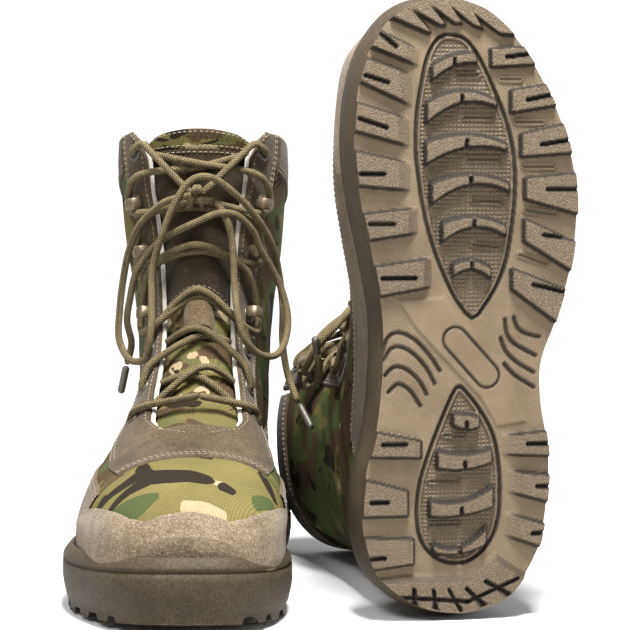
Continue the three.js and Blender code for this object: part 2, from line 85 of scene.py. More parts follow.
# Places around the boot: 0 at the front, 1 at the back.
SEAM = 0.008  # the gap between two panels' edges
CAP_HALF = 0.667
VAMP_HALF = 0.43
TONGUE_HALF = 0.235
KEEPER_HALF = 0.085

# Stations of the skin: back [y, z], front [y, z], half width, centre x, ridge x, widest, and how round the
# front and the back are.
STATIONS = np.array([
    [297.5, 21, 299, 43, 26, 4, 0, 0.45, 0.75, 0.6],
    [293, 21, 293, 53, 34.5, 4, 0, 0.4, 0.75, 0.5],
    [280, 20, 277, 66, 45, 3, 2, 0.38, 0.8, 0.45],
    [255, 20, 247, 77, 51, 0, 5, 0.36, 0.85, 0.4],
    [225, 20, 216, 87, 54, -4, 9, 0.35, 0.9, 0.4],
    [190, 20, 189, 101, 51, -7, 11, 0.34, 0.95, 0.4],
    [150, 20, 166, 120, 44, -6, 9, 0.34, 1, 0.4],
    [100, 20, 151, 141, 39.5, -3, 5, 0.35, 1, 0.45],
    [50, 20, 141, 160, 38.5, -1, 2, 0.4, 1, 0.5],
    [14, 24, 135, 177, 38, 0, 0, 0.45, 0.95, 0.6],
    [2, 52, 131, 191, 39, 0, 0, 0.5, 0.9, 0.75],
    [3, 84, 129, 203, 40.5, 0, 0, 0.5, 0.86, 0.85],
    [8, 118, 128, 214, 43, 0, 0, 0.5, 0.84, 0.85],
    [9, 150, 127.5, 224, 46.5, 0, 0, 0.5, 0.84, 0.85],
    [6, 185, 127, 234, 48.5, 0, 0, 0.5, 0.84, 0.85],
    [3, 213, 127.5, 243, 49.5, 0, 0, 0.5, 0.84, 0.85],
    [1, 232, 129, 252, 49, 0, 0, 0.5, 0.84, 0.85],
])

# Panel edges on the skin, as [station, place around the section].
GAP_EDGE = [[4.2, 0.02], [4.5, 0.11], [5, 0.16], [6, 0.185], [14.4, 0.185], [15.4, 0.22], [16, 0.27]]
FACING_EDGE = [[3, 0.24], [4, 0.3], [5, 0.32], [9, 0.32], [12, 0.31], [16, 0.36]]
CAP_EDGE = [[0, 1.2], [0.1, 1.05], [0.17, 0.95], [0.25, 1.3], [0.33, 2.1], [0.4, 3], [0.47, 4], [1, 4.2]]
OVERLAY_EDGE = [[2, 0.36], [3.6, 0.33], [6, 0.4], [8, 0.47], [9.5, 0.62], [10.5, 0.8], [12, 0.9], [16, 0.9]]

# The camera, in metres and degrees.
CAMERA_AT = (-0.0003, -1.2033, 0.207)
CAMERA_TILT = 2.79
CAMERA_LENS = 125.4

# ---------------------------------------------------------------- small maths


def along(table, at):
    """A value read from a list of [at, value] pairs."""
    places, values = np.array(table, float).T
    return np.interp(at, places, values)


def spline(a, b, c, d, t):
    """A smooth curve from b (t = 0) to c (t = 1), with a before it and d after it."""
    return 0.5 * (2 * b + (c - a) * t + (2 * a - 5 * b + 4 * c - d) * t ** 2
                  + (3 * b - a - 3 * c + d) * t ** 3)


def walk(points):
    """The distance walked along a line at each of its points."""
    return np.concatenate([[0], np.cumsum(np.linalg.norm(np.diff(points, axis=0), axis=1))])


def sections(s):
    """The skin's section at each s, on a smooth curve through the stations."""
    s = np.clip(np.asarray(s, float), -0.5, SHAFT_TOP + 0.5)
    i = np.clip(np.floor(s).astype(int), 0, len(STATIONS) - 2)
    t = (s - i)[..., None]
    last = len(STATIONS) - 1
    p0, p1 = STATIONS[np.maximum(i - 1, 0)], STATIONS[i]
    p2, p3 = STATIONS[i + 1], STATIONS[np.minimum(i + 2, last)]
    smooth = spline(p0, p1, p2, p3, t)
    straight = p1 + (p2 - p1) * t
    inside = ((s >= 0) & (s <= SHAFT_TOP))[..., None]
    return np.where(inside, smooth, straight)


def lift(y):
    """The toe spring's rise."""
    return TOE_SPRING * np.maximum(0, (y - SPRING_START) / (SOLE_LENGTH - SPRING_START)) ** 2


def skin(s, v, depth=0.0):
    """Points of the boot: s along the stations, v around (0 front, 0.5 inner side, -0.5 outer side and
    1 back), and depth under the skin."""
    s, v, depth = np.broadcast_arrays(*[np.asarray(a, float) for a in (s, v, depth)])
    back_y, back_z, front_y, front_z, half, centre, ridge, widest, front_round, back_round = np.moveaxis(
        sections(s), -1, 0)
    span = np.hypot(front_y - back_y, front_z - back_z)
    thin = np.minimum(depth, span * 0.45) / span
    cos, sin = np.cos(np.pi * v), np.sin(np.pi * v)
    upper = cos > 0
    bend = np.where(upper, front_round, back_round)
    reach = np.abs(cos) ** bend * np.where(upper, 1 - widest, -widest)
    height = thin + (1 - 2 * thin) * (widest + reach)
    side = (half - np.minimum(depth, half * 0.6)) * np.sign(sin) * np.abs(sin) ** bend
    tip_back = depth * np.maximum(0, 1 - s / 3)
    x = centre + side + ridge * np.maximum(0, reach) / (1 - widest)
    y = back_y + (front_y - back_y) * height - tip_back
    z = back_z + (front_z - back_z) * height
    return np.stack([x, y, z + lift(y)], -1)


def boot_matrix(side):
    """From a boot's own frame in millimetres to the row frame in metres."""
    if side == "right":
        place, turn = STAND_AT, Matrix.Rotation(math.pi - math.radians(STAND_YAW), 4, "Z")
        turn = turn @ Matrix.Scale(-1, 4, (1, 0, 0))
    else:
        lean, yaw, place = math.radians(LYING_LEAN), math.radians(LYING_YAW), LYING_AT
        across = np.array([-math.cos(yaw), -math.sin(yaw), 0])
        toe = np.array([-math.sin(yaw) * math.sin(lean), math.cos(yaw) * math.sin(lean), math.cos(lean)])
        turn = Matrix(np.column_stack([across, toe, np.cross(across, toe)])).to_4x4()
    shift = Matrix.Translation([a - b for a, b in zip(place, MIDDLE)])
    return Matrix.Scale(0.001, 4) @ shift @ turn


BOOTS = {side: np.array(boot_matrix(side)) for side in SIDES}


def placed(side, points):
    """Points of a boot's frame as row-frame points."""
    m = BOOTS[side]
    return np.asarray(points, float) @ m[:3, :3].T + m[:3, 3]


# ---------------------------------------------------------------- mesh making


def in_scene(name, data):
    """A new object in the scene."""
    obj = bpy.data.objects.new(name, data)
    bpy.context.scene.collection.objects.link(obj)
    return obj


def make_mesh(name, side, points, faces, uvs=None):
    """A piece on one boot. Its faces point outwards in the boot's frame, and are turned over on the right
    boot, which mirrors it."""
    mesh = bpy.data.meshes.new(name)
    faces = [tuple(int(i) for i in f) for f in faces]
    if side == "right":
        faces = [f[::-1] for f in faces]
    mesh.from_pydata(placed(side, points).tolist(), [], faces)
    if uvs is not None:
        layer = mesh.uv_layers.new(name="UVMap")
        corner = np.empty(len(mesh.loops), int)
        mesh.loops.foreach_get("vertex_index", corner)
        layer.data.foreach_set("uv", np.asarray(uvs, float)[corner].ravel())
    mesh.polygons.foreach_set("use_smooth", [True] * len(mesh.polygons))
    mesh.validate()
    return in_scene(name, mesh)


def grid_faces(rows, columns, closed=False, start=0):
    """Quads of a grid of points, row after row. A closed grid joins its last column to its first."""
    faces = []
    for i in range(rows - 1):
        for j in range(columns if closed else columns - 1):
            k = (j + 1) % columns
            a, b = start + i * columns + j, start + i * columns + k
            faces.append((a, b, b + columns, a + columns))
    return faces


def sheet_mesh(name, side, grid, turned_over=True):
    """A piece over a grid of points. Its faces are turned over where its columns run to the inner side."""
    faces = grid_faces(*grid.shape[:2])
    if turned_over:
        faces = [f[::-1] for f in faces]
    return make_mesh(name, side, grid.reshape(-1, 3), faces)


def catmull(points, step):
    """Points about `step` apart on a smooth curve through the given ones."""
    p = np.asarray(points, float)
    p = np.vstack([2 * p[0] - p[1], p, 2 * p[-1] - p[-2]])
    out = []
    for a, b, c, d in zip(p, p[1:], p[2:], p[3:]):
        count = max(2, int(np.linalg.norm(c - b) / step))
        t = np.linspace(0, 1, count, endpoint=False)[:, None]
        out.append(spline(a, b, c, d, t))
    return np.vstack([*out, p[-2:-1]])


def sweep(path, radius, sides=12):
    """Rings of points round a path, with frames that turn as little as they can, and UVs in millimetres."""
    tangents = np.gradient(path, axis=0)
    tangents /= np.linalg.norm(tangents, axis=1)[:, None]
    normal = np.cross(tangents[0], [0.3, 0.2, 0.9])
    radii = np.broadcast_to(radius, len(path))
    angles = np.linspace(0, 2 * np.pi, sides, endpoint=False)
    points, uvs = [], []
    for p, t, r, u in zip(path, tangents, radii, walk(path)):
        normal = normal - t * normal.dot(t)
        normal /= np.linalg.norm(normal)
        other = np.cross(t, normal)
        points.append(p + r * (np.cos(angles)[:, None] * normal + np.sin(angles)[:, None] * other))
        uvs.append(np.stack([np.full(sides, u), angles * LACE_RADIUS], -1))
    return np.vstack(points), np.vstack(uvs)


def tube(name, side, path, radius, sides=12):
    """A closed tube along a path, rounded at both ends."""
    radii = np.full(len(path), float(radius))
    radii[[0, -1]] *= 0.55
    points, uvs = sweep(path, radii, sides)
    faces = grid_faces(len(path), sides, closed=True)
    faces.append(tuple(reversed(range(sides))))
    faces.append(tuple(range(len(points) - sides, len(points))))
    return make_mesh(name, side, points, faces, uvs)


def merged(name, objects):
    """One object made of several."""
    for other in bpy.context.selected_objects:
        other.select_set(False)
    for obj in objects:
        obj.select_set(True)
    bpy.context.view_layer.objects.active = objects[0]
    with bpy.context.temp_override(active_object=objects[0], selected_editable_objects=objects):
        bpy.ops.object.join()
    objects[0].name = name
    objects[0].data.name = name
    return objects[0]


def finished(obj, side, material, *nodes, slot=None):
    """The piece's material, its body and the CAD nodes it stands for; its slot is not used."""
    obj.data.materials.clear()
    obj.data.materials.append(material)
    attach(obj, f"{side}_boot")
    if nodes:
        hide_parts(*[f"{side}_{node}" for node in nodes])
    return obj

# ---------------------------------------------------------------- materials


class Shader:
    """A node material, built a node at a time."""

    def __init__(self, name, roughness, **sockets):
        self.material = bpy.data.materials.new(name)
        self.material.use_nodes = True
        self.nodes = self.material.node_tree.nodes
        self.links = self.material.node_tree.links
        self.surface = self.nodes["Principled BSDF"]
        self.surface.inputs["Roughness"].default_value = roughness
        for socket, value in sockets.items():
            self.surface.inputs[socket.replace("_", " ")].default_value = value
        self.place = self.nodes.new("ShaderNodeTexCoord").outputs["Object"]

    def link(self, value, socket):
        if isinstance(value, bpy.types.NodeSocket):
            self.links.new(value, socket)
        else:
            socket.default_value = value

    def noise(self, scale, detail=4, roughness=0.6, distortion=0.0, place=None):
        node = self.nodes.new("ShaderNodeTexNoise")
        node.inputs["Scale"].default_value = scale
        node.inputs["Detail"].default_value = detail
        node.inputs["Roughness"].default_value = roughness
        node.inputs["Distortion"].default_value = distortion
        self.links.new(place or self.place, node.inputs["Vector"])
        return node.outputs["Fac"]

    def stripes(self, scale, turn, place=None):
        """Fine parallel ridges, turned about the three axes by angles in degrees."""
        spin = self.nodes.new("ShaderNodeMapping")
        spin.inputs["Rotation"].default_value = [math.radians(a) for a in turn]
        self.links.new(place or self.place, spin.inputs["Vector"])
        node = self.nodes.new("ShaderNodeTexWave")
        node.inputs["Scale"].default_value = scale
        self.links.new(spin.outputs["Vector"], node.inputs["Vector"])
        return node.outputs["Fac"]

    def stretched(self, scale, shift=(0, 0, 0), turn=(0, 0, 0)):
        node = self.nodes.new("ShaderNodeMapping")
        node.inputs["Scale"].default_value = scale
        node.inputs["Location"].default_value = shift
        node.inputs["Rotation"].default_value = [math.radians(a) for a in turn]
        self.links.new(self.place, node.inputs["Vector"])
        return node.outputs["Vector"]

    def ramp(self, value, stops):
        """The stops' colours, as [(place, colour), ...], blended by value."""
        node = self.nodes.new("ShaderNodeValToRGB")
        elements = node.color_ramp.elements
        while len(elements) < len(stops):
            elements.new(0.5)
        for element, (at, colour) in zip(elements, stops):
            element.position = at
            element.color = (*colour, 1)
        self.links.new(value, node.inputs["Fac"])
        return node.outputs["Color"]

    def mask(self, value, low, high):
        """0 below low, 1 above high."""
        node = self.nodes.new("ShaderNodeMapRange")
        node.inputs["From Min"].default_value = low
        node.inputs["From Max"].default_value = high
        self.links.new(value, node.inputs["Value"])
        return node.outputs["Result"]

    def mix(self, factor, a, b):
        """Colour a where factor is 0, and b where it is 1."""
        node = self.nodes.new("ShaderNodeMix")
        node.data_type = "RGBA"
        colour = [socket for socket in node.inputs if socket.type == "RGBA"]
        self.link(factor, node.inputs["Factor"])
        self.link(a if isinstance(a, bpy.types.NodeSocket) else (*a, 1), colour[0])
        self.link(b if isinstance(b, bpy.types.NodeSocket) else (*b, 1), colour[1])
        return node.outputs[2]

    def maths(self, kind, a, b):
        node = self.nodes.new("ShaderNodeMath")
        node.operation = kind
        self.link(a, node.inputs[0])
        self.link(b, node.inputs[1])
        return node.outputs[0]

    def bump(self, height, distance, strength=1.0, under=None):
        node = self.nodes.new("ShaderNodeBump")
        node.inputs["Strength"].default_value = strength
        node.inputs["Distance"].default_value = distance
        self.links.new(height, node.inputs["Height"])
        if under is not None:
            self.links.new(under, node.inputs["Normal"])
        return node.outputs["Normal"]

    def painted(self, layer):
        """The mesh's own painted colours, as three channels and the alpha."""
        node = self.nodes.new("ShaderNodeVertexColor")
        node.layer_name = layer
        split = self.nodes.new("ShaderNodeSeparateColor")
        self.links.new(node.outputs["Color"], split.inputs["Color"])
        return [*split.outputs, node.outputs["Alpha"]]

    def finish(self, colour, normal=None):
        self.links.new(colour, self.surface.inputs["Base Color"])
        if normal is not None:
            self.links.new(normal, self.surface.inputs["Normal"])
        return self.material


def suede(name, dark, light):
    """Napped leather: clouded colour and a fine pile, with painted shade in the pile's hollows and painted
    highlights on its tips.
    """
    m = Shader(name, 0.95, Sheen_Weight=0.08, Sheen_Roughness=0.5, Specular_IOR_Level=0.08)
    clouds = m.ramp(m.noise(55, 6, 0.7), [(0.32, dark), (0.68, light)])
    pile = m.noise(1000, 3, 0.6)
    # Painted shade where the pile is low, and painted highlights where it is high.
    shadows = m.mix(m.maths("MULTIPLY", m.mask(pile, 0.5, 0.3), 0.7), clouds, [c * 0.4 for c in dark])
    colour = m.mix(m.maths("MULTIPLY", m.mask(pile, 0.54, 0.72), 0.5), shadows, [c * 1.8 for c in light])
    rough = m.bump(m.noise(260, 5, 0.7), 0.0009, 0.5)
    return m.finish(colour, m.bump(pile, 0.0004, 0.9, rough))


def camouflage(name, shift, ground, patches, printed=()):
    """Printed twill: over the ground colour come flowing patches, or the shapes painted on the mesh."""
    m = Shader(name, 0.9, Specular_IOR_Level=0.1)
    colour = m.ramp(m.noise(30, 3, 0.5), [(0.35, ground), (0.65, [c * 1.25 for c in ground])])
    for i, (tint, scale, level, stretch) in enumerate(patches):
        place = m.stretched(stretch, [shift + 0.37 * i, 0.61 * i, shift * 0.5], (0, 12 * i, 20 * i))
        print_edge = m.mask(m.noise(scale, 2, 0.45, 0.7, place), level, level + 0.006)
        colour = m.mix(print_edge, colour, tint)
    if printed:
        ragged = m.maths("MULTIPLY", m.noise(300, 2), 0.25)
        for channel, tint in reversed(list(zip(m.painted("print"), printed))):
            colour = m.mix(m.mask(m.maths("ADD", channel, ragged), 0.58, 0.64), colour, tint)
    twill = m.stripes(330, (35, 0, 45))
    worn = m.mix(m.mask(m.noise(700, 3, 0.7), 0.3, 0.75), colour, (0.02, 0.018, 0.01))
    shaded = m.mix(0.28, colour, worn)
    threads = m.mix(m.maths("MULTIPLY", twill, 0.3), shaded, (0.02, 0.018, 0.008))
    return m.finish(threads, m.bump(twill, 0.00035, 0.6, m.bump(m.noise(120, 3, 0.6), 0.0006, 0.3)))


def rubber_wall():
    """Moulded rubber side wall: a grained skin, clouded in tone, with painted shade in the grain's hollows.
    """
    m = Shader("rubber_wall", 0.7, Specular_IOR_Level=0.2)
    clouds = m.ramp(m.noise(45, 5, 0.65), [(0.3, (0.03, 0.02, 0.01)), (0.7, (0.056, 0.041, 0.024))])
    grain = m.noise(800, 3, 0.6)
    # The grain's hollows are darkened: painted shade.
    colour = m.mix(m.maths("MULTIPLY", m.mask(grain, 0.58, 0.42), 0.6), clouds, (0.014, 0.01, 0.005))
    ridges = m.stripes(300, (25, 40, 30))
    normal = m.bump(grain, 0.0003, 0.55, m.bump(ridges, 0.00025, 0.3))
    return m.finish(colour, normal)


def rubber_tread():
    """Moulded rubber tread. The mesh's painted zones say where it is lug, ring floor and side floor, and
    where it is clear of a groove; the grooves and the steep sides of the lugs go near black, as painted
    shade."""
    m = Shader("rubber_tread", 0.65, Specular_IOR_Level=0.2)
    lug, ring, floor, clear = m.painted("zone")
    clouds = m.ramp(m.noise(40, 5, 0.6), [(0.3, (0.1, 0.072, 0.044)), (0.7, (0.145, 0.108, 0.069))])
    worn = m.mix(m.maths("MULTIPLY", lug, 0.8), clouds, (0.125, 0.093, 0.061))
    grains = m.mask(m.noise(1300, 2, 0.5, 0.4), 0.38, 0.6)
    stipple = m.maths("MULTIPLY", grains, lug)
    diagonal = m.stripes(260, (0, 45, 0))
    lined = m.maths("MULTIPLY", diagonal, floor)
    squares = m.maths("MULTIPLY", m.stripes(150, (0, 0, 0)), m.stripes(150, (0, 90, 0)))
    crossed = m.maths("MULTIPLY", squares, ring)
    # The hollows of the lugs' stipple are darkened: painted shade in the pits.
    hollow = m.maths("MULTIPLY", m.maths("SUBTRACT", 1.0, grains), lug)
    pits = m.mix(m.maths("MULTIPLY", hollow, 0.35), worn, (0.03, 0.021, 0.012))
    # The ring floor between the raised squares is darkened: painted shade.
    between_squares = m.maths("MULTIPLY", m.maths("SUBTRACT", ring, crossed), 0.55)
    shaded = m.mix(between_squares, pits, (0.03, 0.024, 0.016))
    # Grooves and steep lug sides turn near black: painted shade.
    shaded = m.mix(clear, (0.008, 0.006, 0.004), shaded)
    normal = m.bump(stipple, 0.0007, 0.8)
    normal = m.bump(lined, 0.0003, 0.6, normal)
    return m.finish(shaded, m.bump(crossed, 0.0009, 0.8, normal))


def fleece():
    """Brushed fleece lining."""
    m = Shader("fleece", 1.0, Sheen_Weight=0.5, Specular_IOR_Level=0.1)
    colour = m.ramp(m.noise(160, 5, 0.7), [(0.3, (0.3, 0.275, 0.235)), (0.7, (0.42, 0.39, 0.34))])
    curls = m.noise(420, 5, 0.75, 1.2)
    return m.finish(colour, m.bump(curls, 0.0015, 0.9))


def braid():
    """Round braided lace: two crossing families of strands, some of them darker."""
    m = Shader("braid", 0.75, Specular_IOR_Level=0.25)
    uv = m.nodes.new("ShaderNodeUVMap")
    uv.uv_map = "UVMap"
    one = m.stripes(0.24, (0, 0, 38), uv.outputs["UV"])
    two = m.stripes(0.24, (0, 0, -38), uv.outputs["UV"])
    weave = m.maths("MAXIMUM", one, two)
    # The gaps between the strands go near black: painted shade.
    base = m.ramp(weave, [(0.45, (0.012, 0.009, 0.004)), (0.9, (0.15, 0.112, 0.052))])
    flecks = m.mask(m.maths("MULTIPLY", one, m.noise(260, 1)), 0.42, 0.5)
    colour = m.mix(m.maths("MULTIPLY", flecks, 0.6), base, (0.04, 0.032, 0.02))
    return m.finish(colour, m.bump(weave, 0.0005, 0.9))


def painted_metal():
    """Painted steel, chipped to the metal in places."""
    m = Shader("hook_paint", 0.42, Metallic=0.55)
    chips = m.mask(m.noise(500, 5, 0.7), 0.62, 0.66)
    paint = m.ramp(m.noise(90), [(0.3, (0.07, 0.052, 0.03)), (0.7, (0.13, 0.1, 0.06))])
    bare = (0.4, 0.36, 0.28)
    return m.finish(m.mix(chips, paint, bare), m.bump(m.noise(700, 3), 0.0002, 0.5))


def plain(name, tint, roughness, scale=300, depth=0.0003, **sockets):
    """A hidden or small material with its own grain."""
    m = Shader(name, roughness, **sockets)
    stops = [(0.3, [c * 0.8 for c in tint]), (0.7, [c * 1.15 for c in tint])]
    colour = m.ramp(m.noise(scale, 5, 0.65), stops)
    return m.finish(colour, m.bump(m.noise(scale * 2, 4, 0.7), depth, 0.6))


CAMO_BROWN = (0.055, 0.033, 0.017)
CAMO_DARK = (0.01, 0.006, 0.004)
CAMO_GREEN = (0.045, 0.06, 0.018)
CAMO_OLIVE = (0.11, 0.091, 0.03)
CAMO_CREAM = (0.3, 0.235, 0.135)
SUEDE = suede("suede", (0.046, 0.032, 0.017), (0.1, 0.071, 0.042))
# A lighter copy of the suede for the toe cap: painted light on the cap's top.
LIT_CAP_SUEDE = suede("lit_cap_suede", (0.085, 0.063, 0.04), (0.18, 0.138, 0.096))
# Darker copies of the suede for the eyestay, the collar and the tongue's band: painted shade.
SHADED_YOKE_SUEDE = suede("shaded_yoke_suede", (0.031, 0.022, 0.012), (0.07, 0.05, 0.03))
SHADED_COLLAR_SUEDE = suede("shaded_collar_suede", (0.028, 0.019, 0.01), (0.062, 0.044, 0.026))
SHADED_TONGUE_SUEDE = suede("shaded_tongue_suede", (0.014, 0.01, 0.005), (0.034, 0.025, 0.014))
VAMP_CAMO = camouflage("vamp_camouflage", 3.0, CAMO_OLIVE, [],
                       printed=(CAMO_DARK, CAMO_GREEN, CAMO_CREAM))
QUARTER_CAMO = camouflage("quarter_camouflage", 1.3, CAMO_GREEN, [
    (CAMO_OLIVE, 22, 0.56, (1, 1, 2)), (CAMO_BROWN, 24, 0.52, (1, 1.4, 1)),
    (CAMO_CREAM, 34, 0.68, (1, 1, 1.6)), (CAMO_DARK, 26, 0.6, (1, 1.5, 2)),
])
TONGUE_CAMO = camouflage("tongue_camouflage", 5.1, (0.075, 0.072, 0.024), [
    (CAMO_OLIVE, 34, 0.52, (1, 1, 2)), (CAMO_BROWN, 36, 0.53, (1, 1, 1.8)),
    (CAMO_CREAM, 42, 0.63, (1, 1, 1.6)), (CAMO_DARK, 34, 0.6, (1, 1, 2.4)),
])
WALL_RUBBER = rubber_wall()
TREAD_RUBBER = rubber_tread()
FLEECE = fleece()
BRAID = braid()
HARDWARE = painted_metal()
TIP = plain("lace_tip", (0.06, 0.05, 0.035), 0.4, 400)
THREAD = plain("thread", (0.16, 0.13, 0.09), 0.8, 900)
EYELET_PAINT = plain("eyelet_paint", (0.05, 0.042, 0.03), 0.4, 500, 0.0002, Metallic=0.4)
HIDDEN = {
    "midsole": plain("midsole_foam", (0.05, 0.045, 0.04), 0.9, 800),
    "footbed": plain("footbed_foam", (0.06, 0.055, 0.05), 0.9, 600),
    "shank": plain("shank_steel", (0.4, 0.4, 0.42), 0.4, 200, 0.0001, Metallic=1.0),
    "insole_board": plain("insole_fibre", (0.45, 0.38, 0.27), 0.9, 500),
    "toe_puff": plain("toe_stiffener", (0.45, 0.38, 0.27), 0.9, 500),
    "heel_counter": plain("heel_stiffener", (0.45, 0.38, 0.27), 0.9, 500),
    "insulation": plain("insulation_wadding", (0.6, 0.58, 0.53), 1.0, 350, 0.001),
}

# ---------------------------------------------------------------- panels of the upper


def steps(width, spacing=2.5):
    """Places from 0 to 1 across a width in millimetres, closer together at both ends for a rounded edge."""
    near = np.array([0.25, 0.6, 1.0, 1.5]) / width
    inner = np.linspace(0, 1, max(4, round(width / spacing)))
    inner = inner[(inner > near[-1]) & (inner < 1 - near[-1])]
    return np.concatenate([[0], near, inner, 1 - near[::-1], [1]])


def between(s0, s1, edge0, edge1, length, width):
    """A grid of skin places (s, v) between two stations and two edges."""
    s = s0 + (s1 - s0) * steps(length)[:, None]
    u = steps(width)[None, :]
    start, end = edge0(s), edge1(s)
    return s + 0 * u, start + (end - start) * u


def run(points, axis):
    """Distance along an axis of a grid of points, from its first edge."""
    pieces = np.linalg.norm(np.diff(points, axis=axis), axis=-1)
    zero = np.zeros_like(np.take(pieces, [0], axis))
    return np.concatenate([zero, np.cumsum(pieces, axis)], axis)


def edge_distance(points, edges):
    """Distance from each grid point to the nearest of the named edges."""
    near = []
    for name, axis in (("s", 0), ("v", 1)):
        walked = run(points, axis)
        if name + "0" in edges:
            near.append(walked)
        if name + "1" in edges:
            near.append(np.take(walked, [-1], axis) - walked)
    return np.minimum.reduce(near)


def rounded(distance, drop=SUEDE_DROP):
    """How far a rounded edge lies under the face."""
    return drop * (1 - np.sqrt(1 - (1 - np.clip(distance / EDGE_RIM, 0, 1)) ** 2))


def panel(name, side, s, v, depth, edges):
    """A panel over a grid of skin places, with the named edges rolled down."""
    sunk = depth + rounded(edge_distance(skin(s, v, depth), edges))
    return sheet_mesh(name, side, skin(s, v, sunk))


def inset_line(s, v, edge, distance):
    """Skin places along a line inside one edge of a grid."""
    axis = 0 if edge[0] == "s" else 1
    if edge[1] == "1":
        s, v = np.flip(s, axis), np.flip(v, axis)
    walked = run(skin(s, v), axis)
    if axis == 0:
        s, v, walked = s.T, v.T, walked.T
    line = [(np.interp(distance, w, a), np.interp(distance, w, b)) for a, b, w in zip(s, v, walked)]
    return np.array(line)


STITCH_GAP = 3.1
STITCH = (1.15, 0.38, 0.32)  # half length, half width and half height
STITCH_RISE = 0.15


def stitches(name, side, lines, depth=0.0):
    """Thread along lines of skin places: one small rounded bar for each stitch."""
    ring = np.linspace(0, 2 * np.pi, 6, endpoint=False)
    bar = [(-1, 0, 0)]
    for along_bar, size in ((-0.75, 0.7), (0, 1), (0.75, 0.7)):
        bar += [(along_bar, size * math.cos(a), size * math.sin(a)) for a in ring]
    bar = np.array(bar + [(1, 0, 0)]) * STITCH
    shape = [(0, 1 + (j + 1) % 6, 1 + j) for j in range(6)] + grid_faces(3, 6, closed=True, start=1)
    shape += [(19, 13 + j, 13 + (j + 1) % 6) for j in range(6)]
    points, faces = [], []
    for line in lines:
        on_skin = skin(line[:, 0], line[:, 1], depth)
        walked = walk(on_skin)
        at = np.arange(STITCH_GAP / 2, walked[-1], STITCH_GAP)
        s, v = np.interp(at, walked, line[:, 0]), np.interp(at, walked, line[:, 1])
        ahead = np.stack([np.interp(at + 0.5, walked, column) - np.interp(at - 0.5, walked, column)
                          for column in on_skin.T], -1)
        ahead /= np.linalg.norm(ahead, axis=1)[:, None]
        up = skin(s + 0.01, v, depth) - skin(s - 0.01, v, depth)
        out = np.cross(up, skin(s, v + 0.002, depth) - skin(s, v - 0.002, depth))
        out /= np.linalg.norm(out, axis=1)[:, None]
        across = np.cross(out, ahead)
        for place, a, b, c in zip(skin(s, v, depth), ahead, across, out):
            start = len(points) * len(bar)
            points.append(place + c * STITCH_RISE + bar @ np.array([a, b, c]))
            faces += [tuple(start + i for i in f) for f in shape]
    return make_mesh(name, side, np.vstack(points), faces)


def gap_edge(s):
    return along(GAP_EDGE, s)


def facing_edge(s):
    return along(FACING_EDGE, s)


def overlay_edge(s):
    return along(OVERLAY_EDGE, s)


def toe_cap(side):
    """The suede toe cap, closed over the tip by a dome of shrinking rows."""
    v = np.linspace(-CAP_HALF, CAP_HALF, 110)[None, :]
    rear = along(CAP_EDGE, np.abs(v))
    t = steps(70, 1.6)[:, None]
    s, v = rear * t, v + 0 * t
    depth = -CAP_PROUD + rounded(edge_distance(skin(s, v), ("s1",)))
    points = skin(s, v, depth)
    centre = points[0][[0, -1]].mean(0)
    dome = []
    for turn in np.linspace(90, 9, 10):
        size, out = math.cos(math.radians(turn)), math.sin(math.radians(turn))
        dome.append(centre + (points[0] - centre) * size + [0, CAP_DOME * out, 0])
    cap = sheet_mesh(f"{side}_toe_cap_suede", side, np.vstack([np.array(dome), points]))
    finished(cap, side, LIT_CAP_SUEDE, "toe_cap", slot="suede")
    return [inset_line(s, v, "s1", d) for d in (2.2, 4.3, 6.4)]


# The shapes printed on the vamp, as strokes of (x, y, half width). Seen from the toe, the vamp's length
# looks shorter by FORESHORTENING, and the half widths are those seen.
FORESHORTENING = 0.53
BRANCH = [
    [(-22, 243, 2.9), (-18, 257, 4.1), (-7, 260.5, 3.9), (3.5, 261.5, 3.3), (12, 265.5, 2.3),
     (15, 267.5, 0.8)],
    [(-22, 251, 3.1), (-30.5, 257, 2.3), (-38, 258.5, 1.9), (-44, 260.5, 1.7), (-49, 270, 2.3),
     (-51, 278, 1.5)],
    [(-18, 262.5, 3.1), (-27.5, 268.5, 2.1), (-36, 276, 1.2), (-46, 285, 0.5)],
    [(-41, 255, 1.5), (-48, 263.5, 1.9)],
    [(20.5, 271.5, 1.9), (25.5, 275, 1.2)],
    [(39, 241, 1.5), (43, 251, 1.7), (46, 258.5, 1)],
    [(7.5, 235.5, 1.2), (13, 237.5, 0.8)],
]
LEAVES = [
    [(-46, 290, 3), (-33, 286, 4), (-20, 283, 3), (-12, 280, 1)],
    [(44, 268, 2), (38, 276, 2.5)],
]
FADED = [
    [(-40, 294, 1.6), (-25, 290, 1.2)],
    [(2, 287, 1.2), (12, 289, 1.8), (22, 291, 1)],
    [(17, 268.5, 1), (20, 269, 0.8)],
]


def stroke_cover(x, y, strokes):
    """1 inside strokes of changing width, falling to 0 over a millimetre outside them."""
    cover = np.zeros(x.shape)
    for stroke in strokes:
        for a, b, radius in catmull([(a, b * FORESHORTENING, r) for a, b, r in stroke], 0.7):
            past_edge = np.hypot(x - a, y * FORESHORTENING - b) - radius
            cover = np.maximum(cover, np.clip(1 - past_edge, 0, 1))
    return cover


def paint(piece, layer, channels):
    """Four painted channels, for the material to read."""
    colours = piece.data.color_attributes.new(layer, "FLOAT_COLOR", "POINT")
    colours.data.foreach_set("color", np.stack(channels, -1).astype("f").ravel())


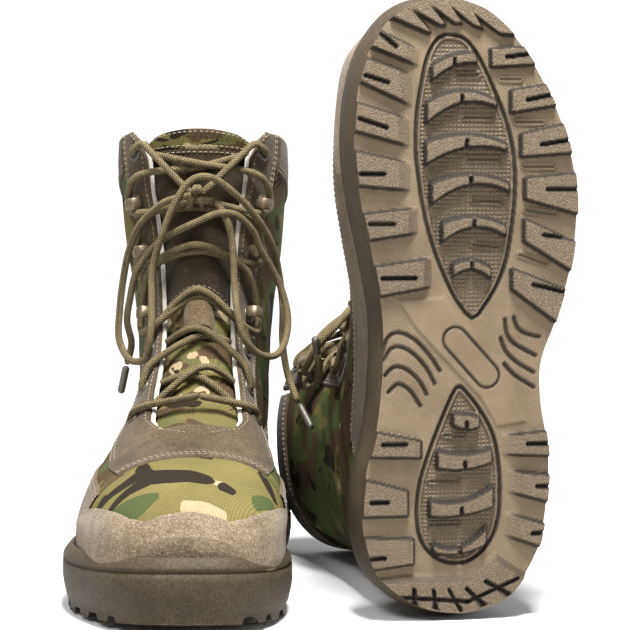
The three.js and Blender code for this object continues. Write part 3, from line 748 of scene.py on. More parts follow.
def vamp(side):
    """The fabric over the toes, with its print painted on."""
    s, v = between(*VAMP_SPAN, lambda s: -VAMP_HALF + 0 * s, lambda s: VAMP_HALF + 0 * s, 180, 260)
    points = skin(s, v, CAMO_DEPTH)
    piece = sheet_mesh(f"{side}_vamp_fabric", side, points)
    x, y, _ = np.moveaxis(points, -1, 0)
    shapes = [stroke_cover(x, y, strokes) for strokes in (BRANCH, LEAVES, FADED)]
    paint(piece, "print", [*shapes, np.ones_like(x)])
    finished(piece, side, VAMP_CAMO, "vamp", slot="camouflage")


def quarters(side):
    """The fabric on both sides of the shaft, which creases softly at the ankle."""
    for word, sign in (("medial", 1), ("lateral", -1)):
        s, v = between(3.2, COLLAR_START + 0.2, lambda s: facing_edge(s) - 0.03,
                       lambda s: overlay_edge(s) + 0.03, 230, 90)
        crease = 0.5 * np.sin(s * 7) * np.exp(-((s - ANKLE) / 1.6) ** 2)
        points = skin(s, v * sign, CAMO_DEPTH + crease)
        piece = sheet_mesh(f"{side}_quarter_{word}_fabric", side, points, turned_over=sign > 0)
        finished(piece, side, QUARTER_CAMO, f"quarter_{word}", slot="camouflage")


def eyestay(side):
    """The suede facing round the lacing gap: a front yoke and two arms with rounded tops."""
    yoke_s, yoke_v = between(EYESTAY_FRONT, U_BOTTOM + 0.25, lambda s: -facing_edge(s) + SEAM,
                             lambda s: facing_edge(s) - SEAM, 32, 62)
    parts = [panel(f"{side}_yoke", side, yoke_s, yoke_v, -EYESTAY_PROUD, ("s0", "v0", "v1"))]
    rows = [inset_line(yoke_s, yoke_v, "s0", d) for d in (2.4, 5)]
    for sign in (1, -1):
        s, v = between(U_BOTTOM - 0.02, SHAFT_TOP + 0.12, lambda s: gap_edge(s) + 0 * s,
                       lambda s: facing_edge(s) - SEAM, 190, 20)
        v = v * sign
        depth = -EYESTAY_PROUD + rounded(edge_distance(skin(s, v), ("s1", "v0", "v1")))
        parts.append(sheet_mesh(f"{side}_arm", side, skin(s, v, depth), turned_over=sign > 0))
        rows += [inset_line(s, v, "v1", d) for d in (2.2, 4.6)]
        rows += [inset_line(s, v, "v0", 2.4)]
    piece = merged(f"{side}_eyestay_suede", parts)
    finished(piece, side, SHADED_YOKE_SUEDE, "eyestay", slot="suede")
    return rows


def heel_cover(side):
    """The suede that wraps the foot above the sole and rises up the back of the heel."""
    s, v = between(EYESTAY_FRONT - 0.1, COLLAR_START - 0.06, lambda s: overlay_edge(s) + SEAM,
                   lambda s: 2 - overlay_edge(s) - SEAM, 260, 150)
    piece = panel(f"{side}_heel_cover_suede", side, s, v, 0, ("s1", "v0", "v1"))
    finished(piece, side, SUEDE, "heel_cover", slot="suede")
    return [inset_line(s, v, edge, d) for edge in ("v0", "v1") for d in (2.3, 4.8)]


def collar(side):
    """The padded suede collar, rolled over its top."""
    s, v = between(COLLAR_START, SHAFT_TOP, lambda s: facing_edge(s) + SEAM,
                   lambda s: 2 - facing_edge(s) - SEAM, 30, 210)
    distance = edge_distance(skin(s, v, 0), ("s0", "v0", "v1"))
    depth = rounded(distance) - COLLAR_SWELL * (1 - np.exp(-distance / COLLAR_SWELL_RUN))
    top_s, top_v, top_depth = s[-1], v[-1], depth[-1]
    roll = []
    for turn in np.linspace(15, 165, 9):
        angle = math.radians(turn)
        reach = top_depth + (LINING_DEPTH - top_depth) * (1 - math.cos(angle)) / 2
        roll.append(skin(top_s, top_v, reach) + [0, 0, COLLAR_ROLL * math.sin(angle)])
    piece = sheet_mesh(f"{side}_collar_suede", side, np.vstack([skin(s, v, depth), np.array(roll)]))
    finished(piece, side, SHADED_COLLAR_SUEDE, "collar", slot="suede")
    return [inset_line(s, v, "s0", d) for d in (2.2, 4.6)]


def lining(side):
    """The fleece that lines the whole boot, with a lip that shows inside the collar and facings."""
    s = np.linspace(2, SHAFT_TOP + 0.05, 110)[:, None]
    start = np.where(s > U_BOTTOM + 0.2, gap_edge(s) + 0.03, 0)
    v = start + (2 - 2 * start) * np.linspace(0, 1, 150)[None, :]
    depth = LINING_DEPTH + 0.3 * np.sin(s * 9 + v * 23) + 0 * v
    piece = sheet_mesh(f"{side}_lining_fleece", side, skin(s + 0 * v, v, depth), turned_over=False)
    finished(piece, side, FLEECE, "lining", slot="fleece")
    lips = []
    for sign in (1, -1):
        s = np.linspace(U_BOTTOM + 0.6, SHAFT_TOP + 0.2, 130)
        v = sign * (gap_edge(s) - 0.004)
        lips.append(tube(f"{side}_lip", side, skin(s, v, LIP_DEPTH), LIP_RADIUS, 10))
    lip = merged(f"{side}_fleece_lip", lips)
    finished(lip, side, FLEECE, slot="fleece")


TONGUE_BANDS = [  # first and last station, material, how far it stands proud
    (4.5, 8.5, "camouflage", 0.0), (8.4, 14.9, "suede", 0.6), (14.85, 16.1, "camouflage", 0.1),
]


def tongue_edge(s):
    return np.minimum(gap_edge(s) + 0.05, TONGUE_HALF)


def tongue(side):
    """The quilted tongue: ribbed camouflage fabric low down and at the curved top, and suede between."""
    parts, rows = {"camouflage": [], "suede": []}, []
    for s0, s1, kind, proud in TONGUE_BANDS:
        s, v = between(s0, s1, lambda s: -tongue_edge(s), tongue_edge, 14 * (s1 - s0), 62)
        if s1 > SHAFT_TOP:
            s = s0 + (s - s0) * (1 - 0.6 * (v / TONGUE_HALF) ** 2)
        ribs = 0.35 * np.abs(np.sin(v * 38)) if kind == "camouflage" else 0
        rim = rounded(edge_distance(skin(s, v), ("s0", "s1")), TONGUE_RIM_DROP)
        points = skin(s, v, TONGUE_DEPTH - proud + ribs + rim)
        parts[kind].append(sheet_mesh(f"{side}_band", side, points))
        rows += [inset_line(s, v, edge, 1.9) for edge in ("s0", "s1")]
    piece = merged(f"{side}_tongue_fabric", parts["camouflage"])
    finished(piece, side, TONGUE_CAMO, "tongue", slot="camouflage")
    band = merged(f"{side}_tongue_band", parts["suede"])
    finished(band, side, SHADED_TONGUE_SUEDE, slot="suede")
    thread = stitches(f"{side}_tongue_thread", side, rows, TONGUE_DEPTH - 0.7)
    finished(thread, side, THREAD, slot="cord")


def lace_keeper(side):
    """A suede strap sewn across the tongue, with a slot for the laces."""
    s, v = between(*KEEPER_SPAN, lambda s: -KEEPER_HALF + 0 * s, lambda s: KEEPER_HALF + 0 * s, 13, 22)
    arch = 1 - (v / KEEPER_HALF) ** 4
    points = skin(s, v, TONGUE_DEPTH - 1 - KEEPER_RISE * arch)
    piece = sheet_mesh(f"{side}_lace_keeper_suede", side, points)
    thick = piece.modifiers.new("thickness", "SOLIDIFY")
    thick.thickness = KEEPER_THICKNESS
    finished(piece, side, SUEDE, "lace_keeper", slot="suede")


def upper(side):
    """Every panel of the upper, and the thread of its seams."""
    rows = [*toe_cap(side), *eyestay(side), *heel_cover(side), *collar(side)]
    vamp(side)
    quarters(side)
    lining(side)
    tongue(side)
    lace_keeper(side)
    finished(stitches(f"{side}_seam_thread", side, rows), side, THREAD, slot="cord")

# ---------------------------------------------------------------- sole
# The tread's outline, round from the heel by the inner side.
SOLE_EDGE = [
    (3, 0), (22, 5), (41, 20), (48, 42), (47, 68), (41, 94), (38, 122), (38, 150), (43, 180), (49, 208),
    (52, 236), (49.5, 264), (42, 286), (28, 303), (11, 309), (-6, 308.5), (-21, 302), (-37, 285),
    (-52, 258), (-61, 232), (-64, 205), (-61, 176), (-53, 148), (-45, 126), (-45, 105), (-49, 80),
    (-48, 55), (-43, 30), (-29, 9), (-13, 1.5),
]
# Side lugs: inner x, front and rear y at the inner end, front and rear y at the edge, inner ramp's run.
LUGS = [
    (17.5, 284, 274, 297, 285, 7), (21.5, 271, 254, 280, 265, 7), (23, 249, 234, 256, 240, 7),
    (22.5, 227, 212, 232, 214, 7), (19, 205, 191, 202, 187, 6), (12, 180, 164, 175, 158, 5),
    (17, 88, 78, 94, 79, 2), (24, 63, 49, 69, 49, 1.5), (21, 39, 25, 40, 22, 1.5),
    (-18, 285, 274, 287, 276, 1.5), (-28, 264, 251, 267, 254, 1.5), (-33, 242, 229, 245, 230, 1.5),
    (-35, 220, 208, 221, 205, 1.5), (-34.5, 200, 187, 195, 180, 1.5), (-28, 175, 163, 168, 150, 1.5),
    (-24, 90, 79, 92, 78, 8), (-27, 72, 60, 70, 55, 8), (-25.5, 51, 38, 45, 31, 8),
]
# Cuts across the lugs and the heel, from end to end.
LUG_SIPES = [
    [(39, 292), (30, 284.5)], [(46, 270), (34.5, 266.5)], [(49.5, 248.5), (35.5, 244)],
    [(49, 221), (37, 221)], [(44.5, 196), (32, 196)], [(38, 169), (21, 169)],
    [(-27, 280), (-38, 281.5)], [(-37.5, 258.5), (-52, 261.5)], [(-44.5, 236), (-60, 238.5)],
    [(-47.5, 213.5), (-63, 213.5)], [(-45.5, 190.5), (-62, 188.5)], [(-40, 165.5), (-57, 161.5)],
    [(38, 86), (26, 86)], [(44, 57), (35.5, 57)], [(47.5, 28.5), (37, 29)], [(-37, 85), (-49, 85)],
    [(-42, 63.5), (-49, 63.5)], [(-39.5, 39.5), (-46, 40)],
]
HEEL_SIPES = [
    [(22, 13), (22, 3)], [(12, 12), (11, 3)], [(4, 12), (-2, 1.5)], [(-5, 12.5), (-14, 4)],
    [(-15, 16), (-27, 9)], [(28, 9), (-6, 6)], [(-6, 6), (-32, 17)],
]
# The lugs that run round the toe and the heel, and the wedges cut out of the toe's.
TOE_BAND = [
    (60, 330), (60, 303), (36, 300), (13, 290.5), (7, 294.5), (-4, 296), (-13, 294), (-22, 291),
    (-29, 290.5), (-60, 289), (-60, 330),
]
TOE_WEDGES = [
    [(22.5, 304.3), (6.3, 295.5), (11, 291)], [(13, 306.8), (-3.7, 295), (2.5, 293.5)],
    [(2, 306), (-13.7, 293.5), (-7, 292.5)], [(-10, 302.5), (-27, 290), (-17, 290)],
]
HEEL_BAND = [
    (60, 17), (41, 19.3), (25, 20.5), (3.8, 19.3), (-7.5, 20.5), (-17.5, 28), (-20.6, 30.5),
    (-37.5, 19.3), (-60, 10), (-60, -20), (60, -20),
]
# The two pointed rings under the ball of the foot and the heel.
FORE_RING = [
    (3.8, 291.8), (-6.3, 290), (-13.8, 280.5), (-21.3, 264.3), (-27.5, 248), (-31.3, 230.5),
    (-31.9, 213), (-30.6, 198), (-27.5, 179), (-22.5, 165.5), (-15, 153.6), (-8.8, 148), (0, 158),
    (6.3, 170.5), (11.3, 183), (15.6, 198), (18.8, 215.5), (20.6, 233), (20, 250.5), (17.5, 265.5),
    (13.8, 280.5), (8.8, 289),
]
HEEL_RING = [
    (-3.1, 115), (-12.5, 104), (-20, 90.5), (-23.1, 75.5), (-23.8, 60.5), (-22.5, 45.5), (-17.5, 34.3),
    (-7.5, 26), (2.5, 25), (12.5, 29.3), (18.8, 38), (20.6, 50.5), (19.4, 64.3), (16.3, 75.5),
    (11.3, 89.3), (5, 104.3), (0.6, 113),
]
# Bars inside the rings: left x, right x, then lower and upper edge at the left, middle and right.
BARS = [
    (12.5, -12.5, (266.5, 274.5, 276), (277, 283, 284)),
    (15.6, -22.5, (245, 256, 253.5), (258, 265, 259.5)),
    (16.3, -27.5, (224.3, 233.6, 231.8), (238.5, 243, 238)),
    (13.5, -28.8, (204.3, 215, 211), (218, 223, 218)),
    (8, -26.9, (185.5, 193.6, 188.6), (198, 201.8, 196.8)),
    (2.5, -19, (168, 172.4, 166.8), (177.4, 180, 175.5)),
    (2.5, -13, (94.9, 92, 93.6), (103, 102.5, 101)), (10.6, -19.4, (73, 71.8, 75.5), (85, 82.4, 85.5)),
    (14.6, -20, (48.6, 48.6, 53), (60, 58.6, 66.5)), (13, -16.5, (30.5, 29.3, 34.3), (38, 35.5, 46)),
]
# Outlines with round ends: both ends of the centre line, and the half width. The last one is the waist's.
STADIUMS = [
    ((-2.5, 271), (-13, 271), 1.3), ((-5.6, 249.5), (-19.4, 249.5), 1.3),
    ((-7.5, 228.6), (-22.5, 228.6), 1.3), ((-9.4, 207.8), (-23.8, 207.3), 1.3),
    ((-10, 185.5), (-22.5, 184.5), 1.3), ((5.6, 90), (-4.4, 89), 1.2), ((13, 66.8), (-1.3, 66.8), 1.3),
    ((13, 44.9), (-1.3, 44.9), 1.3), ((-24.4, 269), (-34.4, 269), 1.3),
    ((-32.5, 247.4), (-45.6, 247.4), 1.3), ((-36.3, 225), (-51, 225), 1.3),
    ((-36.9, 203), (-52.5, 201), 1.3), ((-33.8, 180.5), (-47.5, 176), 1.3),
    ((0, 138), (-16.3, 120), 6.3),
]
WAIST_ARCS = [
    [(37.5, 131), (35, 139), (29.4, 142), (21.3, 138.6), (13, 130), (8, 122.4)],
    [(36.9, 128), (33, 134), (27.5, 134.5), (21.3, 131), (15, 124), (10.6, 116)],
    [(36, 120.5), (32, 124.5), (27, 124.3), (22, 121), (17.5, 116), (14.8, 110.5)],
    [(34.4, 112), (30, 116), (26.3, 115), (22.5, 111.8), (18, 104.8)],
    [(-30.6, 149), (-32.5, 143.6), (-37.5, 140.5), (-44, 139)],
    [(-26, 148), (-27, 140.5), (-31, 135.5), (-42, 129.5)],
    [(-23.8, 138.6), (-26.3, 131.8), (-32.5, 126), (-41, 121)],
    [(-25.6, 125.5), (-30.6, 120), (-41, 113.5)],
]
BRIDGE = [(31, 159), (5, 160), (-25, 124), (-38, 95.5), (-21.3, 93), (-12.5, 108), (7.5, 129), (21.3, 144)]
TREAD_STEP = 0.7
TREAD_SIDE_SHADE = 0.95  # how dark the painted shade is on the steep sides of the lugs
TREAD_INSET = 0.5  # how far inside the outline the tread's relief ends
RELIEF_WIDTH = 115
OUTLINE_POINTS = 640
# Heights above the ground, depths and half widths of the tread's relief.
SIDE_FLOOR = 3.3
RING_FLOOR = 4.3
BAR_RISE = 4.1
BRIDGE_RISE = 0.8
RING_RISE = 0.9
RING_HALF = 0.9
CUT_HALF = 0.95
CUT_DEPTH = 1.5
ARC_HALF = 1.3
SMALL_STADIUM = 3  # outlines narrower than this are raised, and the wide one is cut


def smooth_loop(points, count):
    """A closed smooth curve through points, evenly spaced."""
    p = np.array(points, float)
    n = len(p)
    t = np.linspace(0, n, 20 * n, endpoint=False)
    i = t.astype(int)
    f = (t - i)[:, None]
    a, b, c, d = p[(i - 1) % n], p[i % n], p[(i + 1) % n], p[(i + 2) % n]
    curve = spline(a, b, c, d, f)
    closed = np.vstack([curve, curve[:1]])
    walked = walk(closed)
    at = np.linspace(0, walked[-1], count, endpoint=False)
    return np.stack([np.interp(at, walked, closed[:, k]) for k in range(2)], -1)


def segment_distance(x, y, a, b):
    (ax, ay), (bx, by) = a, b
    dx, dy = bx - ax, by - ay
    t = np.clip(((x - ax) * dx + (y - ay) * dy) / (dx * dx + dy * dy), 0, 1)
    return np.hypot(x - ax - t * dx, y - ay - t * dy)


def line_distance(x, y, points, closed=False):
    ends = points[1:] + (points[:1] if closed else [])
    return np.minimum.reduce([segment_distance(x, y, a, b) for a, b in zip(points, ends)])


def inside_distance(x, y, points):
    """Distance to an outline: positive inside it, negative outside."""
    points = [tuple(p) for p in points]
    crossings = np.zeros(x.shape, bool)
    for (ax, ay), (bx, by) in zip(points, points[1:] + points[:1]):
        if ay != by:
            crossings ^= ((ay > y) != (by > y)) & (x < (bx - ax) * (y - ay) / (by - ay) + ax)
    return np.where(crossings, 1, -1) * line_distance(x, y, points, closed=True)


def rise(distance, run_length):
    return np.clip(distance / run_length, 0, 1)


def lug_height(x, y):
    """How much of its full height a side lug has at each place, from 0 to 1."""
    height = np.zeros(x.shape)
    for inner, front_in, rear_in, front_out, rear_out, ramp in LUGS:
        outward = (x - inner) * np.sign(inner)
        t = outward / (46 - abs(inner))
        ahead = front_in + (front_out - front_in) * t - y
        behind = y - rear_in - (rear_out - rear_in) * t
        block = rise(outward, ramp) * rise(ahead, 1.1) * rise(behind, 1.1)
        height = np.maximum(height, block)
    for band, wedges in ((TOE_BAND, TOE_WEDGES), (HEEL_BAND, [])):
        block = rise(inside_distance(x, y, band), 1.3 if wedges else 4)
        for wedge in wedges:
            block = block * (1 - rise(inside_distance(x, y, wedge), 1.2))
        height = np.maximum(height, block)
    return height


def bar_height(x, y):
    """The same for the curved bars inside the two rings."""
    height = np.zeros(x.shape)
    for left, right, low, high in BARS:
        across = (left - x) / (left - right)
        curve = [np.polyval(np.polyfit([0, 0.5, 1], edge, 2), across) for edge in (low, high)]
        block = rise(left - x, 1.2) * rise(x - right, 1.2)
        block = block * rise(y - curve[0], 1.1) * rise(curve[1] - y, 3.2)
        middle = left + 0.5 * (right - left)
        notch = rise(2.2 - np.abs(x - middle) * 3, 1) * rise(curve[0] + 5.5 - y, 1.5)
        height = np.maximum(height, block * (1 - 0.8 * notch))
    return height


def tread_surface(x, y):
    """The tread's height above the ground, and its zones: lug, ring floor, side floor, clear of grooves
    (the grooves become painted shade).
    """
    lug = lug_height(x, y)
    groove = np.zeros(x.shape)
    for sipe in LUG_SIPES + HEEL_SIPES:
        cut = rise(CUT_HALF - segment_distance(x, y, *sipe), 0.5)
        groove = np.maximum(groove, cut * (lug > 0.3))
        lug = lug * (1 - 0.6 * cut)
    rings = [smooth_loop(ring, 70) for ring in (FORE_RING, HEEL_RING)]
    in_ring = np.maximum(*[inside_distance(x, y, ring) for ring in rings])
    bridge = rise(inside_distance(x, y, BRIDGE), 1.5) * (in_ring < -1.5)
    bars = bar_height(x, y) * rise(in_ring - 1.8, 0.8)
    height = SIDE_FLOOR - SIDE_FLOOR * lug
    height = np.where(in_ring > 1.4, RING_FLOOR - BAR_RISE * bars, height)
    height = height - BRIDGE_RISE * bridge * (1 - lug)
    height = height - RING_RISE * rise(RING_HALF - np.abs(in_ring - 2.2), 0.5) * (1 - bars)
    cut = rise(CUT_HALF - np.abs(in_ring - 0.6), 0.5) * (1 - lug)
    height = height + CUT_DEPTH * cut
    groove = np.maximum(groove, cut)
    for a, b, radius in STADIUMS:
        away = segment_distance(x, y, a, b)
        rim = rise(0.75 - np.abs(away - radius), 0.45) * (1 - bars) * (1 - lug)
        if radius > SMALL_STADIUM:
            height = height + 0.9 * rim
            groove = np.maximum(groove, rim * 0.9)
        else:
            height = height - 0.7 * rim
            groove = np.maximum(groove, 0.6 * rise(radius - 0.3 - away, 0.4))
    for arc in WAIST_ARCS:
        points = [tuple(p) for p in catmull(arc, 3)]
        cut = rise(ARC_HALF - line_distance(x, y, points), 1.2) * (1 - lug)
        height = height + CUT_DEPTH * cut
        groove = np.maximum(groove, 0.85 * cut)
    top = np.maximum(lug, bars)
    ring_floor = (in_ring > 2.8) * (1 - bars)
    side_floor = (1 - top) * (in_ring < 0) * (1 - bridge)
    return np.clip(height, 0, LUG_HEIGHT), top, ring_floor, side_floor, 1 - 0.9 * groove


def wall_profile():
    """The side wall's rows, as height and inset: a wall under a grooved rim, rolled in at the top."""
    wall = [(LUG_HEIGHT + 0.1, 0.3), (6.5, -0.6), (9, -1.2), (12.5, -2), (WALL_TOP / 2, -WALL_BULGE)]
    rim = [(21, -WALL_BULGE), (24.4, -WALL_BULGE + 0.1), (25, -1.5), (25.6, -1.1), (26.2, -1.5),
           (26.7, -2.3)]
    top = [(28, -1.9), (30, -0.4), (32, 1.2), (WALL_TOP, WALL_INSET), (32.6, 3.6), (30, 4.4), (26, 5)]
    return wall + rim + top


def tread_grid(edge, border):
    """The tread's x and y in rows across the sole, out to the border that runs inside the edge."""
    heel, toe = edge[:, 1].argmin(), edge[:, 1].argmax()
    loop = np.roll(border, -heel, 0)
    turn = (toe - heel) % len(edge)
    medial, lateral = loop[:turn + 1], np.vstack([loop[turn:], loop[:1]])[::-1]
    ends = np.linspace(0, 1, 6) ** 2
    rows = np.unique(np.concatenate([np.arange(1.4, 307.6, TREAD_STEP), 0.3 + ends, 308.6 - ends]))
    low = np.interp(rows, lateral[:, 1], lateral[:, 0])
    high = np.interp(rows, medial[:, 1], medial[:, 0])
    u = np.linspace(0, 1, int(RELIEF_WIDTH / TREAD_STEP))
    x = low[:, None] + (high - low)[:, None] * u
    return x, rows[:, None] + 0 * x


def sole(side):
    """The outsole: the tread as a fine relief out to the sole's outline, and the side wall round it."""
    edge = smooth_loop(SOLE_EDGE, OUTLINE_POINTS)
    tangent = np.roll(edge, -1, 0) - np.roll(edge, 1, 0)
    tangent /= np.linalg.norm(tangent, axis=1)[:, None]
    inward = np.stack([-tangent[:, 1], tangent[:, 0]], -1)
    border = edge + TREAD_INSET * inward
    x, y = tread_grid(edge, border)
    z, *zones = tread_surface(x, y)
    across, ahead = np.gradient(z, axis=1) / TREAD_STEP, np.gradient(z, axis=0) / TREAD_STEP
    # The last zone channel is darkened on the steep sides of the lugs: painted shade.
    zones[3] = zones[3] * (1 - TREAD_SIDE_SHADE * np.clip(np.hypot(across, ahead) - 0.25, 0, 1))
    tread = sheet_mesh(f"{side}_tread", side, np.stack([x, y, z + lift(y)], -1))
    paint(tread, "zone", zones)
    finished(tread, side, TREAD_RUBBER, slot="rubber")

    foot, *_ = tread_surface(border[:, 0], border[:, 1])
    rings = [np.column_stack([border, foot])]
    for height, inset in wall_profile():
        rings.append(np.column_stack([edge + inset * inward, np.full(len(edge), float(height))]))
    rings = np.array(rings)
    rings[..., 2] += lift(rings[..., 1])
    faces = grid_faces(*rings.shape[:2], closed=True)
    wall = make_mesh(f"{side}_sole_wall", side, rings.reshape(-1, 3), faces)
    finished(wall, side, WALL_RUBBER, "outsole", slot="rubber")


# ---------------------------------------------------------------- laces and hardware
EYELETS = [5.5, 6.4, 7.5, 14.9]
HOOKS = [8.6, 10.6, 12.6]
LACE_ROWS = [*EYELETS[:3], *HOOKS, EYELETS[3]]
EYELET_AT = 0.245
HOOK_AT = 0.242
KNOT = (0, 135, 213)
# The free ends' routes from the knot, and their aglets from the cord's end.
LATERAL_LOOP = [
    (-10.5, 137, 213), (-20, 137, 209), (-32, 131, 198), (-39, 124, 183), (-43, 119, 165), (-45, 118, 148),
    (-45, 121, 133), (-38, 131, 122), (-28, 142, 124), (-25, 147, 138), (-25, 139, 155), (-25, 135, 173),
    (-19, 141, 192), (-12, 144, 209), (-3, 145, 222), (8, 144, 224), (20, 138, 216), (32, 129, 203),
    (41, 116, 187),
]
STANDING_TAIL = [(45, 106, 170), (47, 104, 150), (47, 108, 131), (50, 115, 113), (56, 125, 98)]
STANDING_TIP = [(57, 126.6, 96.5), (64, 136, 84)]
LYING_TAIL = [(45, 107, 170), (46.5, 105, 150), (46, 109, 131), (48, 117, 113), (52, 126, 98)]
LYING_TIP = [(52.5, 127.2, 96.5), (56, 136, 84)]
TAILS = {"right": (STANDING_TAIL, STANDING_TIP), "left": (LYING_TAIL, LYING_TIP)}
MEDIAL_BOW = [
    (10.5, 137, 211), (17, 139, 200), (20, 137, 185), (21, 139, 165), (23, 148, 149), (27, 149, 135),
    (35, 142, 126), (44, 133, 125), (49, 123, 133), (50, 115, 147), (45, 114, 165), (35, 123, 184),
    (31, 128, 194), (22, 136, 203), (12, 143, 204), (2, 145, 200), (-7, 142, 196), (-15, 136, 192),
    (-26, 129, 184), (-35, 123, 171), (-39, 118, 156), (-41, 115, 143), (-39, 110, 130), (-42, 106, 118),
]
MEDIAL_TIP = [(-42.4, 105.7, 116.5), (-46, 102, 101)]
# A hook's strip along its middle, as distance from the lacing gap and height, and its section's outline.
HOOK_PATH = [
    (5, 0.9), (1, 0.8), (-1.2, 1.0), (-2.4, 2.2), (-2.6, 4.6), (-1.9, 6.9), (0, 7.8), (3, 8), (5.2, 7),
]
HOOK_SECTION = [
    (-1, 0), (-0.88, 0.42), (0, 0.5), (0.88, 0.42), (1, 0), (0.88, -0.42), (0, -0.5), (-0.88, -0.42),
]
HOOK_HALF_WIDTH = 3.3
HOOK_TAPER = 1.1
HOOK_BASE_AWAY = 3.2
# Round parts, as radius and height over the skin.
EYELET_PROFILE = [(5, -0.6), (5, 0.2), (4.6, 0.8), (3.9, 1), (3, 0.9), (2.5, 0.4), (2.3, -0.4), (2.3, -2.5)]
BASE_PROFILE = [(4.9, -0.5), (4.9, 0.6), (4.5, 1), (0.01, 1)]
RIVET_PROFILE = [(2.4, 0.8), (2.3, 1.5), (1.7, 2), (0.8, 2.25), (0.01, 2.3)]


def free_cord(side, word, points, tip_points):
    """A free lace end: its braided cord and its aglet."""
    path = catmull(points, 1.5)
    cord = tube(f"{side}_{word}_bow_lace", side, path, LACE_RADIUS)
    finished(cord, side, BRAID, f"bow_{word}", slot="cord")
    aglet = tube(f"{side}_{word}_lace_tip", side, catmull(tip_points, 1), AGLET_RADIUS)
    finished(aglet, side, TIP, f"aglet_{word}", slot="tip")


def free_cords(side):
    tail, tip = TAILS[side]
    free_cord(side, "lateral", LATERAL_LOOP + tail, tip)
    free_cord(side, "medial", MEDIAL_BOW, MEDIAL_TIP)


def lace_turn(s, side_sign):
    """The lace at one row: out through an eyelet, or round behind a hook."""
    if s in HOOKS:
        bend = [(-0.9, 0.2), (-0.3, 0.277), (0.3, 0.277), (0.9, 0.2)]
        return [skin(s + up, side_sign * v, -4.2) for up, v in bend]
    bend = [(-0.12, 0.19, 4.3), (-0.04, 0.225, 4.2), (0, 0.247, 1.5), (0.02, 0.245, -1.6), (0.1, 0.22, -3),
            (0.25, 0.185, -2.4)]
    return [skin(s + up, side_sign * v, depth) for up, v, depth in bend]


def laced_strand(start):
    """Half of the laced run, from the middle of the lowest bar across the tongue at every row."""
    first = [(-0.35, 0, -3), (-0.2, 0.17, -2.8), (0, 0.235, -2), (0.03, 0.247, 2.5)]
    points = [skin(LACE_ROWS[0] + up, start * v, depth) for up, v, depth in first]
    for row, s in enumerate(LACE_ROWS):
        sign = start if row % 2 == 0 else -start
        if row:
            points += lace_turn(s, sign)
        if row + 1 < len(LACE_ROWS):
            points.append(skin((s + LACE_ROWS[row + 1]) / 2, 0, 3.8 if start > 0 else -1.2))
    sign = start if len(LACE_ROWS) % 2 else -start
    over_knot = np.array([sign * 6, KNOT[1], KNOT[2] + 5])
    return np.array([*points, skin(14.1, sign * 0.12, -5), over_knot, np.array(KNOT, float)])


def knot_paths():
    """The bow's knot: two turns round the middle and the two bights that leave it."""
    x, y, z = KNOT
    wraps = []
    for shift, tilt in ((-2.2, 0.5), (2.2, -0.4)):
        turn = np.linspace(0.3, 2 * np.pi + 0.1, 26)
        wraps.append(np.stack([x + shift + tilt * 3 * np.sin(turn), y + 4.6 * np.cos(turn),
                               z + 5.2 * np.sin(turn)], -1))
    ends = [catmull([(-10, 137, 213), (-5, 138, 213.5), (1, 136, 214), (5, 133, 212)], 1),
            catmull([(10, 137, 211), (5, 138.5, 211), (-1, 137, 211.5), (-5, 133, 212)], 1)]
    return wraps + ends


def lace(side):
    """The lace drawn through the eyelets and hooks, with the bow's knot."""
    paths = [catmull(laced_strand(start), 1.5) for start in (1, -1)] + knot_paths()
    runs = [tube(f"{side}_strand", side, path, LACE_RADIUS) for path in paths]
    finished(merged(f"{side}_laced_run", runs), side, BRAID, "lace", slot="cord")


def seat(s, v):
    """A place on the skin and its directions: away from the lacing gap, out of the boot and up it."""
    up = skin(s + 0.1, v) - skin(s - 0.1, v)
    out = np.cross(up, skin(s, v + 0.02) - skin(s, v - 0.02))
    up, out = up / np.linalg.norm(up), out / np.linalg.norm(out)
    return skin(s, v), np.cross(out, up) * np.sign(v), out, up


def turned(profile, at, sides=28):
    """A round part from a profile of radius and height, seated on the skin."""
    place, away, out, up = at
    angles = np.linspace(0, 2 * np.pi, sides, endpoint=False)
    rings = [place + out * h + r * (np.cos(angles)[:, None] * away + np.sin(angles)[:, None] * up)
             for r, h in profile]
    faces = grid_faces(len(rings), sides, closed=True)
    if np.dot(np.cross(away, up), out) > 0:
        return np.vstack(rings), faces
    return np.vstack(rings), [f[::-1] for f in faces]


def eyelets(side):
    """Painted grommets round the lace's holes."""
    parts = []
    for s in EYELETS:
        for sign in (1, -1):
            points, faces = turned(EYELET_PROFILE, seat(s, sign * EYELET_AT))
            parts.append(make_mesh(f"{side}_eyelet", side, points, faces))
    finished(merged(f"{side}_eyelets", parts), side, EYELET_PAINT, slot="hardware")


def hook_plate(side, s, v):
    """A hook's bent strip with rounded sides, narrower at its tip."""
    place, away, out, up = seat(s, v)
    line = catmull([(a, b, 0) for a, b in HOOK_PATH], 0.5)[:, :2]
    tangent = np.gradient(line, axis=0)
    tangent /= np.linalg.norm(tangent, axis=1)[:, None]
    across = np.stack([-tangent[:, 1], tangent[:, 0]], -1)
    rows = []
    for k, (p, n) in enumerate(zip(line, across)):
        t = k / (len(line) - 1)
        half = HOOK_HALF_WIDTH - HOOK_TAPER * max(0, (t - 0.75) / 0.25) ** 2
        ring = []
        for w, h in HOOK_SECTION:
            q = p + n * h
            ring.append(place + away * q[0] + out * q[1] + up * half * w)
        rows.append(ring)
    sides = len(HOOK_SECTION)
    faces = grid_faces(len(rows), sides, closed=True)
    faces += [tuple(reversed(range(sides))), tuple(range((len(rows) - 1) * sides, len(rows) * sides))]
    if np.dot(np.cross(away, out), up) < 0:
        faces = [f[::-1] for f in faces]
    return make_mesh(f"{side}_hook_plate", side, np.vstack(rows), faces)


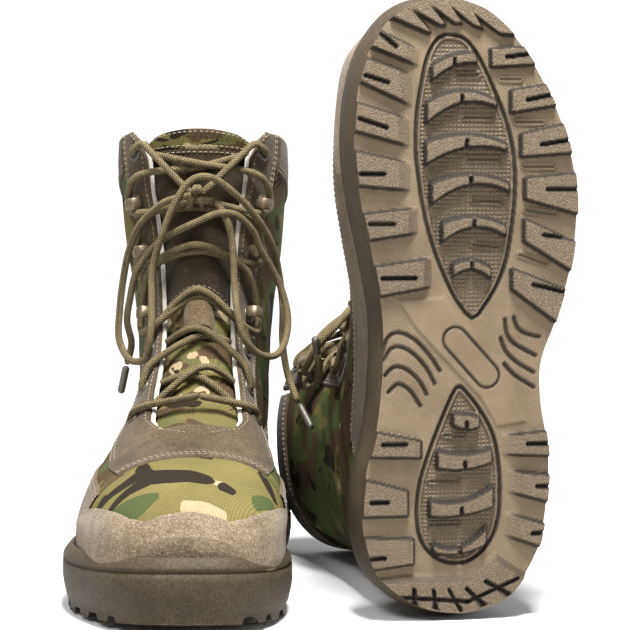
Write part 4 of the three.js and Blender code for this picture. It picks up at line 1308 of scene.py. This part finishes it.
def hooks(side):
    """Lace hooks: a bent strip on a riveted disc."""
    for i, s in enumerate(HOOKS):
        for word, sign in (("medial", 1), ("lateral", -1)):
            place, away, out, up = seat(s, sign * HOOK_AT)
            base = (place + away * HOOK_BASE_AWAY, away, out, up)
            parts = [hook_plate(side, s, sign * HOOK_AT)]
            for profile in (BASE_PROFILE, RIVET_PROFILE):
                points, faces = turned(profile, base)
                parts.append(make_mesh(f"{side}_disc", side, points, faces))
            piece = merged(f"{side}_lace_hook_{word}_{i + 1}", parts)
            finished(piece, side, HARDWARE, f"hook_{word}_{i + 1}", slot="hardware")


# ---------------------------------------------------------------- camera, light and floor


def camera():
    data = bpy.data.cameras.new("camera")
    data.lens = CAMERA_LENS
    data.clip_end = 20
    obj = in_scene("camera", data)
    obj.location = CAMERA_AT
    obj.rotation_euler = (math.radians(90 - CAMERA_TILT), 0, 0)
    bpy.context.scene.camera = obj


def area_light(name, place, aim, size, power):
    """A soft square light at a place, in metres, turned to where it aims."""
    data = bpy.data.lights.new(name, "AREA")
    data.size = size
    data.energy = power
    obj = in_scene(name, data)
    obj.location = place
    away = obj.location - Matrix.Translation(aim).translation
    obj.rotation_euler = away.to_track_quat("Z", "Y").to_euler()


def sky():
    """A white backdrop: bright behind the pair, dim in front of it."""
    world = bpy.data.worlds.new("studio")
    world.use_nodes = True
    nodes, links = world.node_tree.nodes, world.node_tree.links
    split = nodes.new("ShaderNodeSeparateXYZ")
    links.new(nodes.new("ShaderNodeTexCoord").outputs["Generated"], split.inputs["Vector"])
    strength = nodes.new("ShaderNodeMapRange")
    for socket, value in (("From Min", -0.2), ("From Max", 0.7), ("To Min", 0.3), ("To Max", 1.15)):
        strength.inputs[socket].default_value = value
    links.new(split.outputs["Y"], strength.inputs["Value"])
    background = nodes["Background"]
    background.inputs["Color"].default_value = (1, 1, 1, 1)
    links.new(strength.outputs["Result"], background.inputs["Strength"])
    bpy.context.scene.world = world
    bpy.context.scene.view_settings.view_transform = "Standard"


def studio():
    """The backdrop, three soft lights and a pale floor."""
    sky()
    area_light("key", (-0.5, -1.0, 1.2), (0, 0, 0.12), 0.4, 15)
    area_light("top", (0.1, -0.45, 1.5), (0, -0.05, 0.1), 0.4, 92)
    area_light("side", (1.3, -0.8, 0.5), (0, 0, 0.15), 0.6, 5)
    mesh = bpy.data.meshes.new("floor")
    mesh.from_pydata([(-1.1, -1.4, 0), (1.1, -1.4, 0), (1.1, 0.8, 0), (-1.1, 0.8, 0)], [], [(0, 1, 2, 3)])
    floor = in_scene("floor", mesh)
    floor.location.z = -0.0005
    floor_paint = Shader("floor_paint", 0.9)
    shade = floor_paint.ramp(floor_paint.noise(3, 2), [(0.3, (0.56, 0.56, 0.56)), (0.7, (0.6, 0.6, 0.6))])
    mesh.materials.append(floor_paint.finish(shade))


def inner_pieces(side):
    """The materials of the nodes inside the boot, which are kept as they are."""
    for word, material in HIDDEN.items():
        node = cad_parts[f"{side}_{word}"]
        node.data.materials.clear()
        node.data.materials.append(material)


# ---------------------------------------------------------------- the pair
camera()
for boot in SIDES:
    free_cords(boot)
    sole(boot)
    upper(boot)
    lace(boot)
    eyelets(boot)
    hooks(boot)
    inner_pieces(boot)
studio()
